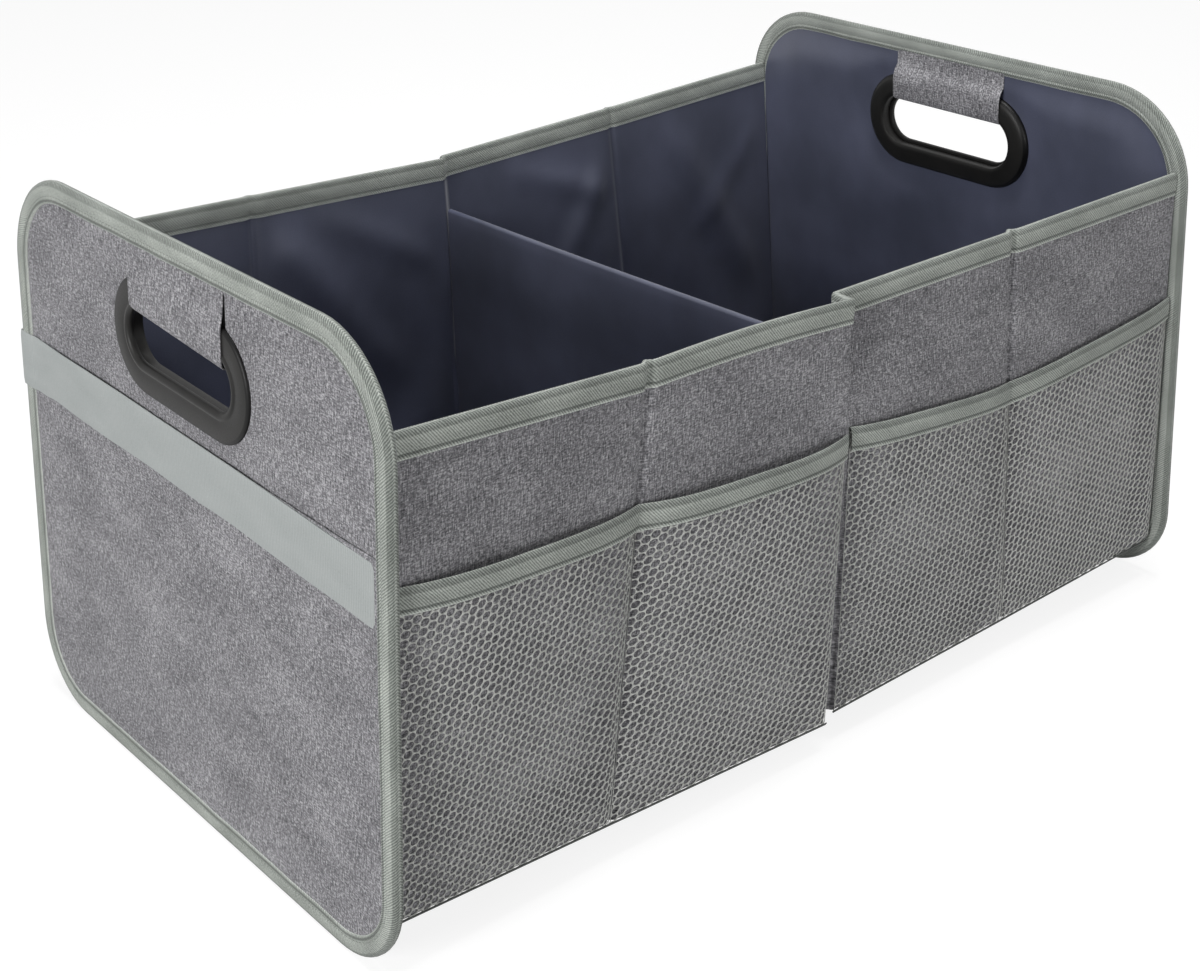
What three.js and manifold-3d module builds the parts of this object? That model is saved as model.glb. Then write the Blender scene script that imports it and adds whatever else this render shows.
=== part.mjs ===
// Collapsible car trunk organizer, standing open: two stiff end panels with handles, two folding long
// walls with mesh pockets on the front one, a soft bottom, a divider and two base boards.
// Millimetres, +Z up, origin on the ground under the middle. The near end panel faces -X, the front wall -Y.
import * as THREE from 'three';
import { mergeVertices } from 'three/addons/utils/BufferGeometryUtils.js';
import Module from 'manifold-3d';

const wasm = await Module();
wasm.setup();

// Overall size
const overallLength = 573;
const panelWidth = 350;
const panelHeight = 303;
const panelTaper = 5.5;
const panelTopRadius = 53;
const panelBottomRadius = 45;
const panelLean = 23;

// Layers of cloth and board, and the gap between two layers that touch
const coverThickness = 0.5;
const liningThickness = 0.4;
const panelBoardThickness = 1.6;
const wallBoardThickness = 1.6;
const layerGap = 0.3;

// Binding tape
const tapeThickness = 0.5;
const tapeWidth = 10.5;
const wallTapeWidth = 12;

// Slip pocket on each end panel
const pocketBelowHandle = 11;
const slipPocketThickness = 0.4;
const bandWidth = 30;
const bandThickness = 0.3;

// Handle grommet
const handleBelowTape = 13.25;
const handleHoleWidth = 95;
const handleHoleHeight = 27.5;
const handleRim = 15;
const handleFrameThickness = 5;
const handleBevel = 1.6;
const handleNeckWall = 2;
const wrapWidth = 83;
const wrapThickness = 0.5;
const wrapRise = 4.5;

// Long walls: how far they stand in from the panel's sides, and their edges at the ends and the middle
const frontWallInset = 10;
const backWallInset = 13;
const wallBelowPanelTop = 40.5;
const wallTopSag = 11;
const wallAboveGround = 30;
const wallBottomSag = 9;
const cornerRadiusAtEnd = 20;
const cornerRadiusInside = 8;
const cornerSteps = 3;

// Plan of the folds: the quarter folds lie in a little, and the cloth steps in at the middle tuck
const quarterFoldTop = 125;
const quarterFoldBottom = 146;
const quarterFoldDepth = 2.5;
const frontTuckPlace = 5;
const frontTuckDepth = 11;
const backTuckPlace = -4;
const backTuckDepth = 4;
const tuckLip = 1;
const tuckStep = 1;
const boardMarginAtFold = 4;

// Mesh pockets
const pocketBelowWallTop = 68;
const pocketBulge = 7;
const pocketFullness = 3;
const pocketTapeWidth = 14;
const meshThickness = 0.8;
const meshColumns = 5;
const meshRows = 6;
const meshRib = 5;
const pocketEndGap = 0.4;

// Divider and base boards
const dividerBelowWallTop = 30;
const dividerBoardThickness = 2;
const baseBoardThickness = 3;
const baseBoardMargin = 3;

// Colours and finishes
const coverLook = { color: 0x7f7e83, roughness: 0.9, metalness: 0 };
const liningLook = { color: 0x3d3f4f, roughness: 0.65, metalness: 0 };
const tapeLook = { color: 0x858b83, roughness: 0.85, metalness: 0 };
const bandLook = { color: 0xa3aba8, roughness: 0.7, metalness: 0 };
const handleLook = { color: 0x222221, roughness: 0.45, metalness: 0 };
const boardLook = { color: 0x9a8566, roughness: 0.9, metalness: 0 };
const meshLook = { color: 0x8f9190, roughness: 0.8, metalness: 0 };

const organizer = new THREE.Group();

function addMesh(name, geometry, look) {
  const mesh = new THREE.Mesh(geometry, new THREE.MeshStandardMaterial(look));
  mesh.name = name;
  organizer.add(mesh);
}

// Closed bodies from three.js geometry, and their joins and cuts
function weld(geometry) {
  const bare = geometry.clone();
  bare.deleteAttribute('normal');
  bare.deleteAttribute('uv');
  return mergeVertices(bare, 1e-5);
}

function signedVolume(geometry) {
  const at = geometry.attributes.position;
  const index = geometry.index;
  const a = new THREE.Vector3();
  const b = new THREE.Vector3();
  const c = new THREE.Vector3();
  let total = 0;
  for (let i = 0; i < index.count; i += 3) {
    a.fromBufferAttribute(at, index.getX(i));
    b.fromBufferAttribute(at, index.getX(i + 1));
    c.fromBufferAttribute(at, index.getX(i + 2));
    total += a.dot(b.cross(c));
  }
  return total;
}

function facingOut(geometry) {
  if (signedVolume(geometry) < 0) {
    const order = geometry.index.array;
    for (let i = 0; i < order.length; i += 3) {
      [order[i + 1], order[i + 2]] = [order[i + 2], order[i + 1]];
    }
  }
  geometry.computeVertexNormals();
  return geometry;
}

function toSolid(geometry) {
  const closed = facingOut(weld(geometry));
  return new wasm.Manifold(new wasm.Mesh({
    numProp: 3,
    vertProperties: new Float32Array(closed.attributes.position.array),
    triVerts: new Uint32Array(closed.index.array),
  }));
}

function toGeometry(solid) {
  const mesh = solid.getMesh();
  const geometry = new THREE.BufferGeometry();
  geometry.setAttribute('position', new THREE.BufferAttribute(new Float32Array(mesh.vertProperties), 3));
  geometry.setIndex(Array.from(mesh.triVerts));
  return geometry;
}

// A closed sheet between two grids of points, rows by columns
function sheetBetween(front, back) {
  const rows = front.length;
  const columns = front[0].length;
  const points = [...front.flat(), ...back.flat()];
  const offset = rows * columns;
  const at = (side, i, j) => side * offset + i * columns + j;
  const faces = [];
  const quad = (a, b, c, d) => faces.push(a, b, c, a, c, d);
  for (let i = 0; i < rows - 1; i++) {
    for (let j = 0; j < columns - 1; j++) {
      quad(at(0, i, j), at(0, i, j + 1), at(0, i + 1, j + 1), at(0, i + 1, j));
      faces.push(at(1, i, j), at(1, i + 1, j + 1), at(1, i, j + 1));
      faces.push(at(1, i, j), at(1, i + 1, j), at(1, i + 1, j + 1));
    }
  }
  for (let j = 0; j < columns - 1; j++) {
    quad(at(0, 0, j), at(1, 0, j), at(1, 0, j + 1), at(0, 0, j + 1));
    quad(at(0, rows - 1, j), at(0, rows - 1, j + 1), at(1, rows - 1, j + 1), at(1, rows - 1, j));
  }
  for (let i = 0; i < rows - 1; i++) {
    quad(at(0, i, 0), at(0, i + 1, 0), at(1, i + 1, 0), at(1, i, 0));
    quad(at(0, i, columns - 1), at(1, i, columns - 1), at(1, i + 1, columns - 1), at(0, i + 1, columns - 1));
  }
  const geometry = new THREE.BufferGeometry().setFromPoints(points);
  geometry.setIndex(faces);
  return facingOut(geometry);
}

// A path of [across, up] points moved sideways by a distance, its corners mitred
function offsetPath(path, distance) {
  const normals = [];
  for (let i = 0; i < path.length - 1; i++) {
    const run = new THREE.Vector2().subVectors(path[i + 1], path[i]).normalize();
    normals.push(new THREE.Vector2(-run.y, run.x));
  }
  return path.map((point, i) => {
    const before = normals[Math.max(i - 1, 0)];
    const after = normals[Math.min(i, normals.length - 1)];
    const miter = new THREE.Vector2().addVectors(before, after);
    const reach = 2 / miter.lengthSq();
    return point.clone().addScaledVector(miter, distance * reach);
  });
}

const mix = (a, b, t) => a + (b - a) * t;

// Heights that follow from the sizes above
const handleHeight = panelHeight - tapeWidth - handleBelowTape - handleRim - handleHoleHeight / 2;
const slipPocketTop = handleHeight - handleHoleHeight / 2 - handleRim - pocketBelowHandle;
const wallTopAtEnd = panelHeight - wallBelowPanelTop;
const wallTopAtMiddle = wallTopAtEnd - wallTopSag;
const wallBottomAtEnd = wallAboveGround;
const wallBottomAtMiddle = wallBottomAtEnd - wallBottomSag;
const dividerTop = wallTopAtMiddle - dividerBelowWallTop;

// End panels. Depth 0 is the outer face of the binding, and depth grows towards the inside of the organizer.
const bandDepth = tapeThickness + layerGap;
const slipPocketDepth = bandDepth + bandThickness + layerGap;
const coverDepth = slipPocketDepth + slipPocketThickness + layerGap;
const panelBoardDepth = coverDepth + coverThickness + layerGap;
const liningDepth = panelBoardDepth + panelBoardThickness + layerGap;
const liningBack = liningDepth + liningThickness;
const panelThickness = liningBack + layerGap + tapeThickness;
const leanSlope = panelLean / panelHeight;
const arcSegments = 5;

// Outline of the panel, inset all round, its sides closing in a little towards the top, with its top cut
// level where a height is given. Each corner's arc meets its slanted side smoothly.
const sideTilt = Math.atan(panelTaper / panelHeight);

function cornerCentre(height, radius) {
  return panelWidth / 2 - (height * Math.sin(sideTilt) + radius) / Math.cos(sideTilt);
}

function panelSideAt(height, inset) {
  return panelWidth / 2 - (inset + height * Math.sin(sideTilt)) / Math.cos(sideTilt);
}

function panelShape(inset, top = panelHeight) {
  const level = top < panelHeight - panelTopRadius;
  const lowRadius = panelBottomRadius - inset;
  const highRadius = panelTopRadius - inset;
  const lowAcross = cornerCentre(panelBottomRadius, panelBottomRadius);
  const highCentre = panelHeight - panelTopRadius;
  const highAcross = cornerCentre(highCentre, panelTopRadius);
  const shape = new THREE.Shape();
  shape.moveTo(-lowAcross, inset);
  shape.absarc(lowAcross, panelBottomRadius, lowRadius, -Math.PI / 2, sideTilt, false);
  if (level) {
    shape.lineTo(panelSideAt(top, inset), top);
    shape.lineTo(-panelSideAt(top, inset), top);
  } else {
    shape.absarc(highAcross, highCentre, highRadius, sideTilt, Math.PI / 2, false);
    shape.absarc(-highAcross, highCentre, highRadius, Math.PI / 2, Math.PI - sideTilt, false);
  }
  shape.absarc(-lowAcross, panelBottomRadius, lowRadius, Math.PI - sideTilt, Math.PI * 1.5, false);
  return shape;
}

// Outline of the handle's hole grown by a margin, with full round ends
function handleShape(margin) {
  const radius = handleHoleHeight / 2 + margin;
  const reach = handleHoleWidth / 2 - handleHoleHeight / 2;
  const shape = new THREE.Shape();
  shape.absarc(reach, handleHeight, radius, -Math.PI / 2, Math.PI / 2, false);
  shape.absarc(-reach, handleHeight, radius, Math.PI / 2, Math.PI * 1.5, false);
  return shape;
}

function extrudeDepth(shape, from, to, options = {}) {
  const geometry = new THREE.ExtrudeGeometry(shape, {
    depth: to - from,
    bevelEnabled: false,
    curveSegments: arcSegments,
    ...options,
  });
  return geometry.translate(0, 0, from);
}

// From width, height and depth to the organizer's own axes, leaning in towards the top
function placeOnEnd(geometry, end) {
  const depthToLength = new THREE.Matrix4().set(
    0, 0, 1, -overallLength / 2,
    1, 0, 0, 0,
    0, 1, 0, 0,
    0, 0, 0, 1,
  );
  const lean = new THREE.Matrix4().set(
    1, 0, leanSlope, 0,
    0, 1, 0, 0,
    0, 0, 1, 0,
    0, 0, 0, 1,
  );
  const turn = new THREE.Matrix4().makeRotationZ(end === 'far' ? Math.PI : 0);
  const placed = geometry.clone();
  placed.applyMatrix4(depthToLength);
  placed.applyMatrix4(lean);
  placed.applyMatrix4(turn);
  return facingOut(weld(placed));
}

function layerWithHandleHole(from, to) {
  const shape = panelShape(tapeThickness + layerGap);
  shape.holes.push(handleShape(handleNeckWall + layerGap));
  return extrudeDepth(shape, from, to);
}

// The tape folds over the layers, so its channel is what they take up and a gap round them
function endBinding() {
  const ring = panelShape(0);
  ring.holes.push(panelShape(tapeWidth));
  const layers = extrudeDepth(panelShape(tapeThickness), coverDepth - layerGap, liningBack + layerGap);
  const pocket = extrudeDepth(
    panelShape(tapeThickness, slipPocketTop + layerGap), slipPocketDepth - layerGap, coverDepth);
  const bandSlot = extrudeDepth(bandShape(tapeThickness, layerGap), tapeThickness, coverDepth);
  const tape = toSolid(extrudeDepth(ring, 0, panelThickness))
    .subtract(toSolid(layers))
    .subtract(toSolid(pocket))
    .subtract(toSolid(bandSlot));
  return toGeometry(tape);
}

function bandShape(inset, margin) {
  const low = slipPocketTop - bandWidth - margin;
  const high = slipPocketTop + margin;
  const shape = new THREE.Shape();
  shape.moveTo(-panelSideAt(low, inset), low);
  shape.lineTo(panelSideAt(low, inset), low);
  shape.lineTo(panelSideAt(high, inset), high);
  shape.lineTo(-panelSideAt(high, inset), high);
  return shape;
}

function handleFrame(from, outward, holeMargin) {
  const shape = handleShape(handleRim - handleBevel);
  shape.holes.push(handleShape(holeMargin + handleBevel));
  const flange = extrudeDepth(shape, from + handleBevel, from + handleFrameThickness - handleBevel, {
    bevelEnabled: true,
    bevelSize: handleBevel,
    bevelThickness: handleBevel,
    bevelSegments: 2,
  });
  const flat = handleShape(handleRim);
  flat.holes.push(handleShape(holeMargin));
  const foot = outward
    ? extrudeDepth(flat, from + handleFrameThickness / 2, from + handleFrameThickness)
    : extrudeDepth(flat, from, from + handleFrameThickness / 2);
  return toSolid(flange).add(toSolid(foot));
}

const outerFrameDepth = coverDepth - layerGap - handleFrameThickness;
const innerFrameDepth = liningBack + layerGap;
const innerFrameFace = innerFrameDepth + handleFrameThickness;

// The outer frame carries a neck that passes through the panel and holds the inner frame
function handleOuterFrame() {
  const neckShape = handleShape(handleNeckWall);
  neckShape.holes.push(handleShape(0));
  const neck = extrudeDepth(neckShape, outerFrameDepth + handleFrameThickness / 2, innerFrameFace - handleBevel);
  return toGeometry(handleFrame(outerFrameDepth, true, 0).add(toSolid(neck)));
}

function handleInnerFrame() {
  return toGeometry(handleFrame(innerFrameDepth, false, handleNeckWall + layerGap));
}

// A strip of cover cloth goes over the upper bar, through the hole and up inside to the binding
function handleWrap() {
  const holeTop = handleHeight + handleHoleHeight / 2;
  const frameTop = holeTop + handleRim;
  const holeEnd = handleHoleHeight / 2;
  const pastReach = Math.max(wrapWidth / 2 - handleHoleWidth / 2 + holeEnd, 0);
  const wrapFloor = holeTop - holeEnd + Math.sqrt(holeEnd ** 2 - pastReach ** 2) - 2 * layerGap;
  const stripTop = panelHeight - tapeWidth - layerGap;
  const inside = [
    [coverDepth - layerGap, stripTop],
    [coverDepth - layerGap, frameTop + wrapRise],
    [outerFrameDepth - layerGap, frameTop + layerGap],
    [outerFrameDepth - layerGap, wrapFloor],
    [innerFrameFace + layerGap, wrapFloor],
    [innerFrameFace + layerGap, frameTop + layerGap],
    [innerFrameDepth, frameTop + wrapRise],
    [innerFrameDepth, stripTop],
  ].map(([depth, up]) => new THREE.Vector2(depth, up));
  const outside = offsetPath(inside, -wrapThickness);
  const row = (path, side) => path.map((point) => new THREE.Vector3(side * wrapWidth / 2, point.y, point.x));
  const front = [row(outside, -1), row(outside, 1)];
  const back = [row(inside, -1), row(inside, 1)];
  return sheetBetween(front, back);
}

function slipPocket() {
  const shape = panelShape(tapeThickness + layerGap, slipPocketTop);
  return extrudeDepth(shape, slipPocketDepth, slipPocketDepth + slipPocketThickness);
}

function pocketBand() {
  return extrudeDepth(bandShape(tapeThickness + layerGap, 0), bandDepth, bandDepth + bandThickness);
}

function addEndPanel(end) {
  const add = (name, geometry, look) => addMesh(`${end}_${name}`, placeOnEnd(geometry, end), look);
  add('end_cover', layerWithHandleHole(coverDepth, coverDepth + coverThickness), coverLook);
  add('end_board', layerWithHandleHole(panelBoardDepth, panelBoardDepth + panelBoardThickness), boardLook);
  add('end_lining', layerWithHandleHole(liningDepth, liningBack), liningLook);
  add('end_binding', endBinding(), tapeLook);
  add('slip_pocket', slipPocket(), coverLook);
  add('pocket_band', pocketBand(), bandLook);
  add('handle_outer_frame', handleOuterFrame(), handleLook);
  add('handle_inner_frame', handleInnerFrame(), handleLook);
  add('handle_wrap', handleWrap(), coverLook);
}

// Long walls. A wall's plan is a path of [length, inward] points at its top and at its bottom, and a layer
// lies at its own depth from the outer face of the cover. Negative depth stands off the wall outside.
const wallCoverDepth = 0;
const wallBoardDepth = coverThickness + layerGap;
const wallLiningDepth = wallBoardDepth + wallBoardThickness + layerGap;
const wallThickness = wallLiningDepth + liningThickness;
const halfLength = overallLength / 2;

const frontWall = {
  side: -1,
  plane: panelWidth / 2 - frontWallInset,
  tuckPlace: frontTuckPlace,
  tuckDepth: frontTuckDepth,
  stepIn: 1,
};
const backWall = {
  side: 1,
  plane: panelWidth / 2 - backWallInset,
  tuckPlace: backTuckPlace,
  tuckDepth: backTuckDepth,
  stepIn: -1,
};

// Stations along a wall: near end, quarter fold, the two sides of the tuck, quarter fold, far end
const stationCount = 6;

// The walls end at the inner face of the panels' linings, which lean in with height
const wallEndAt = (height) => halfLength - panelThickness - layerGap - leanSlope * height;
const wallTopAt = (along) => mix(wallTopAtMiddle, wallTopAtEnd, Math.min(Math.abs(along) / halfLength, 1));
const wallBottomAt = (along) => mix(wallBottomAtMiddle, wallBottomAtEnd, Math.min(Math.abs(along) / halfLength, 1));
const cornerRadii = [cornerRadiusAtEnd, cornerRadiusInside, cornerRadiusInside];
const cornerRadiusOf = (station) => cornerRadii[Math.min(station, stationCount - 1 - station)];

function wallPlan(wall, end, fold) {
  const lip = wall.stepIn > 0 ? -tuckLip : wall.tuckDepth;
  const root = wall.stepIn > 0 ? wall.tuckDepth : -tuckLip;
  return [
    new THREE.Vector2(-end, 0),
    new THREE.Vector2(-fold, quarterFoldDepth),
    new THREE.Vector2(wall.tuckPlace - tuckStep / 2, lip),
    new THREE.Vector2(wall.tuckPlace + tuckStep / 2, root),
    new THREE.Vector2(fold, quarterFoldDepth),
    new THREE.Vector2(end, 0),
  ];
}

// The wall's surface at a depth: its points at the top and at the start of the bottom corner. Under the
// corner the layer runs at its depth in the bottom, where there is no board.
function wallLayer(wall, depth, bottomDepth = depth) {
  const top = offsetPath(wallPlan(wall, wallEndAt(wallTopAtEnd), quarterFoldTop), depth);
  const lowEnd = wallEndAt(wallBottomAtEnd + cornerRadiusAtEnd);
  const low = offsetPath(wallPlan(wall, lowEnd, quarterFoldBottom), depth);
  const stations = top.map((point, i) => {
    const radius = cornerRadiusOf(i);
    const isEnd = i === 0 || i === stationCount - 1;
    return {
      top: point,
      low: low[i],
      topHeight: wallTopAt(point.x),
      lowHeight: wallBottomAt(low[i].x) + radius,
      reach: radius - depth,
      drop: radius - bottomDepth,
      lean: isEnd ? Math.sign(point.x) * leanSlope : 0,
    };
  });
  return { side: wall.side, plane: wall.plane, stations };
}

function alongStation(layer, position) {
  const i = Math.min(Math.floor(position), stationCount - 2);
  const t = position - i;
  const a = layer.stations[i];
  const b = layer.stations[i + 1];
  return {
    top: a.top.clone().lerp(b.top, t),
    low: a.low.clone().lerp(b.low, t),
    topHeight: mix(a.topHeight, b.topHeight, t),
    lowHeight: mix(a.lowHeight, b.lowHeight, t),
    reach: mix(a.reach, b.reach, t),
    drop: mix(a.drop, b.drop, t),
    lean: mix(a.lean, b.lean, t),
  };
}

function toSpace(layer, along, inward, height) {
  return new THREE.Vector3(along, layer.side * (layer.plane - inward), height);
}

function wallPointAtHeight(layer, position, height) {
  const station = alongStation(layer, position);
  const t = (height - station.lowHeight) / (station.topHeight - station.lowHeight);
  const along = mix(station.low.x, station.top.x, t);
  const inward = mix(station.low.y, station.top.y, t);
  return toSpace(layer, along, inward, height);
}

function cornerPoint(layer, position, turn) {
  const station = alongStation(layer, position);
  const inward = station.low.y + station.reach * (1 - Math.cos(turn));
  const down = station.drop * Math.sin(turn);
  return toSpace(layer, station.low.x + station.lean * down, inward, station.lowHeight - down);
}

const wholeStations = [...Array(stationCount).keys()];

// Wall cloth from the top down round the bottom corner
function wallSheet(wall, depth, thickness, bottomDepth) {
  const column = (layer, position) => {
    const points = [];
    for (let k = cornerSteps; k > 0; k--) {
      points.push(cornerPoint(layer, position, (k / cornerSteps) * Math.PI / 2));
    }
    const station = alongStation(layer, position);
    points.push(wallPointAtHeight(layer, position, station.lowHeight));
    points.push(wallPointAtHeight(layer, position, station.topHeight));
    return points;
  };
  const grid = (inward) => {
    const layer = wallLayer(wall, depth + inward, bottomDepth + inward);
    return wholeStations.map((position) => column(layer, position));
  };
  return sheetBetween(grid(0), grid(thickness));
}

// A stiff board in one quarter of a wall, clear of the folds beside it
function wallBoard(wall, quarter) {
  const first = quarter < 2 ? quarter : quarter + 1;
  const grid = (d) => {
    const layer = wallLayer(wall, d);
    const span = layer.stations[first].top.distanceTo(layer.stations[first + 1].top);
    const margin = boardMarginAtFold / span;
    return [first + margin, first + 1 - margin].map((position) => {
      const station = alongStation(layer, position);
      return [
        wallPointAtHeight(layer, position, station.lowHeight + layerGap),
        wallPointAtHeight(layer, position, station.topHeight - layerGap),
      ];
    });
  };
  return sheetBetween(grid(wallBoardDepth), grid(wallBoardDepth + wallBoardThickness));
}

// Tape folded over an edge: [depth, height above the edge] round the layers from the outside to the inside
function tapePath(outerDepth, innerDepth, width) {
  const inner = [
    new THREE.Vector2(outerDepth - layerGap, -width),
    new THREE.Vector2(outerDepth - layerGap, layerGap),
    new THREE.Vector2(innerDepth + layerGap, layerGap),
    new THREE.Vector2(innerDepth + layerGap, -width),
  ];
  return { inner, outer: offsetPath(inner, tapeThickness) };
}

function wallTape(wall) {
  const { inner, outer } = tapePath(wallCoverDepth, wallThickness, wallTapeWidth);
  const grid = (path) => wholeStations.map((position) => path.map((point) => {
    const layer = wallLayer(wall, point.x);
    return wallPointAtHeight(layer, position, alongStation(layer, position).topHeight + point.y);
  }));
  return sheetBetween(grid(outer), grid(inner));
}

// Bottom cloth between the two walls' corners, clear of wall cloth that reaches in to a depth
function bottomSheet(wallReach, depth, thickness) {
  const grid = (inward) => {
    const front = wallLayer(frontWall, wallReach + layerGap, depth + inward);
    const back = wallLayer(backWall, wallReach + layerGap, depth + inward);
    return wholeStations.map((position) => {
      const a = cornerPoint(front, position, Math.PI / 2);
      const b = cornerPoint(back, position, Math.PI / 2);
      a.y += layerGap;
      b.y -= layerGap;
      return [a, b];
    });
  };
  return sheetBetween(grid(0), grid(thickness));
}

// Mesh pockets, one to each quarter of the front wall. A pocket's mouth stands off the wall between its ends.
const pocketStations = [0, 1, 3, 4];
const behindMesh = layerGap + tapeThickness + layerGap;
const pocketSteps = meshColumns * 2;
const pocketTopAt = (along) => wallTopAt(along) - pocketBelowWallTop;
const pocketHeightAt = (along, cornerRadius) => pocketTopAt(along) - wallBottomAt(along) - cornerRadius;
const pocketHeight = Math.min(
  pocketHeightAt(0, cornerRadiusInside),
  pocketHeightAt(halfLength, cornerRadiusAtEnd),
);

function pocketWidth(station) {
  const { stations } = wallLayer(frontWall, 0);
  return stations[station].top.distanceTo(stations[station + 1].top) - 2 * pocketEndGap;
}

// A pocket's surface at a distance from the wall's cover. Across runs from 0 to 1, and so does up, from the
// bottom corner of the wall to the mouth.
function pocketSurface(station, standOff) {
  const layer = wallLayer(frontWall, -standOff);
  const margin = pocketEndGap / pocketWidth(station);
  return (across, up, above = 0) => {
    const position = station + mix(margin, 1 - margin, across);
    const place = alongStation(layer, position);
    const low = place.lowHeight;
    const mouth = pocketTopAt(place.top.x);
    const height = mix(low, mouth, up) + above;
    const rise = (height - low) / (mouth - low);
    const fullness = 1 - Math.abs(2 * across - 1) ** pocketFullness;
    const point = wallPointAtHeight(layer, position, height);
    point.y -= pocketBulge * fullness * rise;
    return point;
  };
}

// A flat net of triangles with six-sided openings, its columns staggered by half a row. It is left whole
// where the tape covers it. Points are [across, up], both from 0 to 1.
function honeycombNet() {
  const points = [];
  const places = new Map();
  const faces = [];
  const pointAt = (across, up) => {
    const key = `${across.toFixed(5)} ${up.toFixed(5)}`;
    if (!places.has(key)) {
      places.set(key, points.length);
      points.push([across, up]);
    }
    return places.get(key);
  };
  const quad = (a, b, c, d) => faces.push([a, b, c], [a, c, d]);
  const openUp = 1 - (pocketTapeWidth + 2 * layerGap) / pocketHeight;
  const rowStep = openUp / meshRows;
  const columnStep = 1 / meshColumns;
  const ribAcross = meshRib / 2 / pocketWidth(0);
  const ribUp = meshRib / 2 / pocketHeight;
  const plain = (left, low, high) => {
    for (const side of [0, 1]) {
      const from = left + side * columnStep / 2;
      const to = from + columnStep / 2;
      quad(pointAt(from, low), pointAt(to, low), pointAt(to, high), pointAt(from, high));
    }
  };
  const cell = (left, low) => {
    const right = left + columnStep;
    const high = low + rowStep;
    const middle = (left + right) / 2;
    const centre = (low + high) / 2;
    const rim = [[left, low], [middle, low], [right, low], [right, centre],
      [right, high], [middle, high], [left, high], [left, centre]];
    const slant = (columnStep - 2 * ribAcross) / 4;
    const hole = [[middle - slant, low + ribUp], [middle, low + ribUp], [middle + slant, low + ribUp],
      [right - ribAcross, centre], [middle + slant, high - ribUp], [middle, high - ribUp],
      [middle - slant, high - ribUp], [left + ribAcross, centre]];
    for (let i = 0; i < rim.length; i++) {
      const next = (i + 1) % rim.length;
      quad(pointAt(...rim[i]), pointAt(...rim[next]), pointAt(...hole[next]), pointAt(...hole[i]));
    }
  };
  for (let column = 0; column < meshColumns; column++) {
    const left = column * columnStep;
    const shift = (column % 2) * rowStep / 2;
    const cells = meshRows - (column % 2);
    for (let row = 0; row < cells; row++) {
      cell(left, shift + row * rowStep);
    }
    if (shift > 0) {
      plain(left, 0, shift);
      plain(left, openUp - shift, openUp);
    }
    plain(left, openUp, 1);
  }
  return { points, faces };
}

// A closed sheet from a flat net: its two faces, and walls along every edge that has one face only
function sheetFromNet(net, front, back) {
  const count = net.points.length;
  const edges = new Set(net.faces.flatMap(([a, b, c]) => [`${a} ${b}`, `${b} ${c}`, `${c} ${a}`]));
  const faces = [];
  for (const [a, b, c] of net.faces) {
    faces.push(a, b, c, a + count, c + count, b + count);
  }
  for (const edge of edges) {
    const [a, b] = edge.split(' ').map(Number);
    if (!edges.has(`${b} ${a}`)) {
      faces.push(a, a + count, b + count, a, b + count, b);
    }
  }
  const places = [...net.points.map((point) => front(...point)), ...net.points.map((point) => back(...point))];
  const geometry = new THREE.BufferGeometry().setFromPoints(places);
  geometry.setIndex(faces);
  return facingOut(geometry);
}

function meshPocket(station) {
  const inner = pocketSurface(station, behindMesh);
  const outer = pocketSurface(station, behindMesh + meshThickness);
  return sheetFromNet(honeycombNet(), outer, inner);
}

function pocketTape(station) {
  const inner = [
    new THREE.Vector2(behindMesh + meshThickness + layerGap, -pocketTapeWidth),
    new THREE.Vector2(behindMesh + meshThickness + layerGap, layerGap),
    new THREE.Vector2(behindMesh - layerGap, layerGap),
    new THREE.Vector2(behindMesh - layerGap, -pocketTapeWidth),
  ];
  const outer = offsetPath(inner, -tapeThickness);
  const row = (point) => {
    const surface = pocketSurface(station, point.x);
    return [...Array(pocketSteps + 1).keys()].map((k) => surface(k / pocketSteps, 1, point.y));
  };
  return sheetBetween(outer.map(row), inner.map(row));
}

// Divider, sewn in at the tucks of the two long walls, with its lower corners cut off round the walls' corners
const bottomLiningDepth = coverThickness + layerGap;
const bottomLiningTop = bottomLiningDepth + liningThickness;
const dividerFront = {
  along: frontTuckPlace + tuckStep / 2,
  edge: -(frontWall.plane - frontTuckDepth - wallThickness - 2 * layerGap),
};
const dividerBack = {
  along: backTuckPlace,
  edge: backWall.plane - backTuckDepth - wallThickness - 2 * layerGap,
};

// Points of one upright line of the divider, at a distance to one side of its middle plane
function dividerEdge(end, aside, rise) {
  const inset = -Math.sign(end.edge) * cornerRadiusInside;
  const foot = wallBottomAtMiddle + bottomLiningTop + 2 * layerGap;
  const low = new THREE.Vector3(end.along + aside, end.edge + inset, foot);
  const shoulder = new THREE.Vector3(end.along + aside, end.edge, foot + cornerRadiusInside);
  const top = new THREE.Vector3(end.along + aside, end.edge, dividerTop - rise);
  return [low, shoulder, top];
}

function dividerFace(aside, rise) {
  return [dividerEdge(dividerFront, aside, rise), dividerEdge(dividerBack, aside, rise)];
}

function dividerBoard() {
  const half = dividerBoardThickness / 2;
  const rise = liningThickness + layerGap;
  return sheetBetween(dividerFace(-half, rise), dividerFace(half, rise));
}

function dividerCover() {
  const inner = dividerBoardThickness / 2 + layerGap;
  const outer = inner + liningThickness;
  const fold = (half, rise) => [dividerFront, dividerBack].map((end) => [
    ...dividerEdge(end, -half, rise),
    ...dividerEdge(end, half, rise).reverse(),
  ]);
  return sheetBetween(fold(outer, 0), fold(inner, liningThickness));
}

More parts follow.
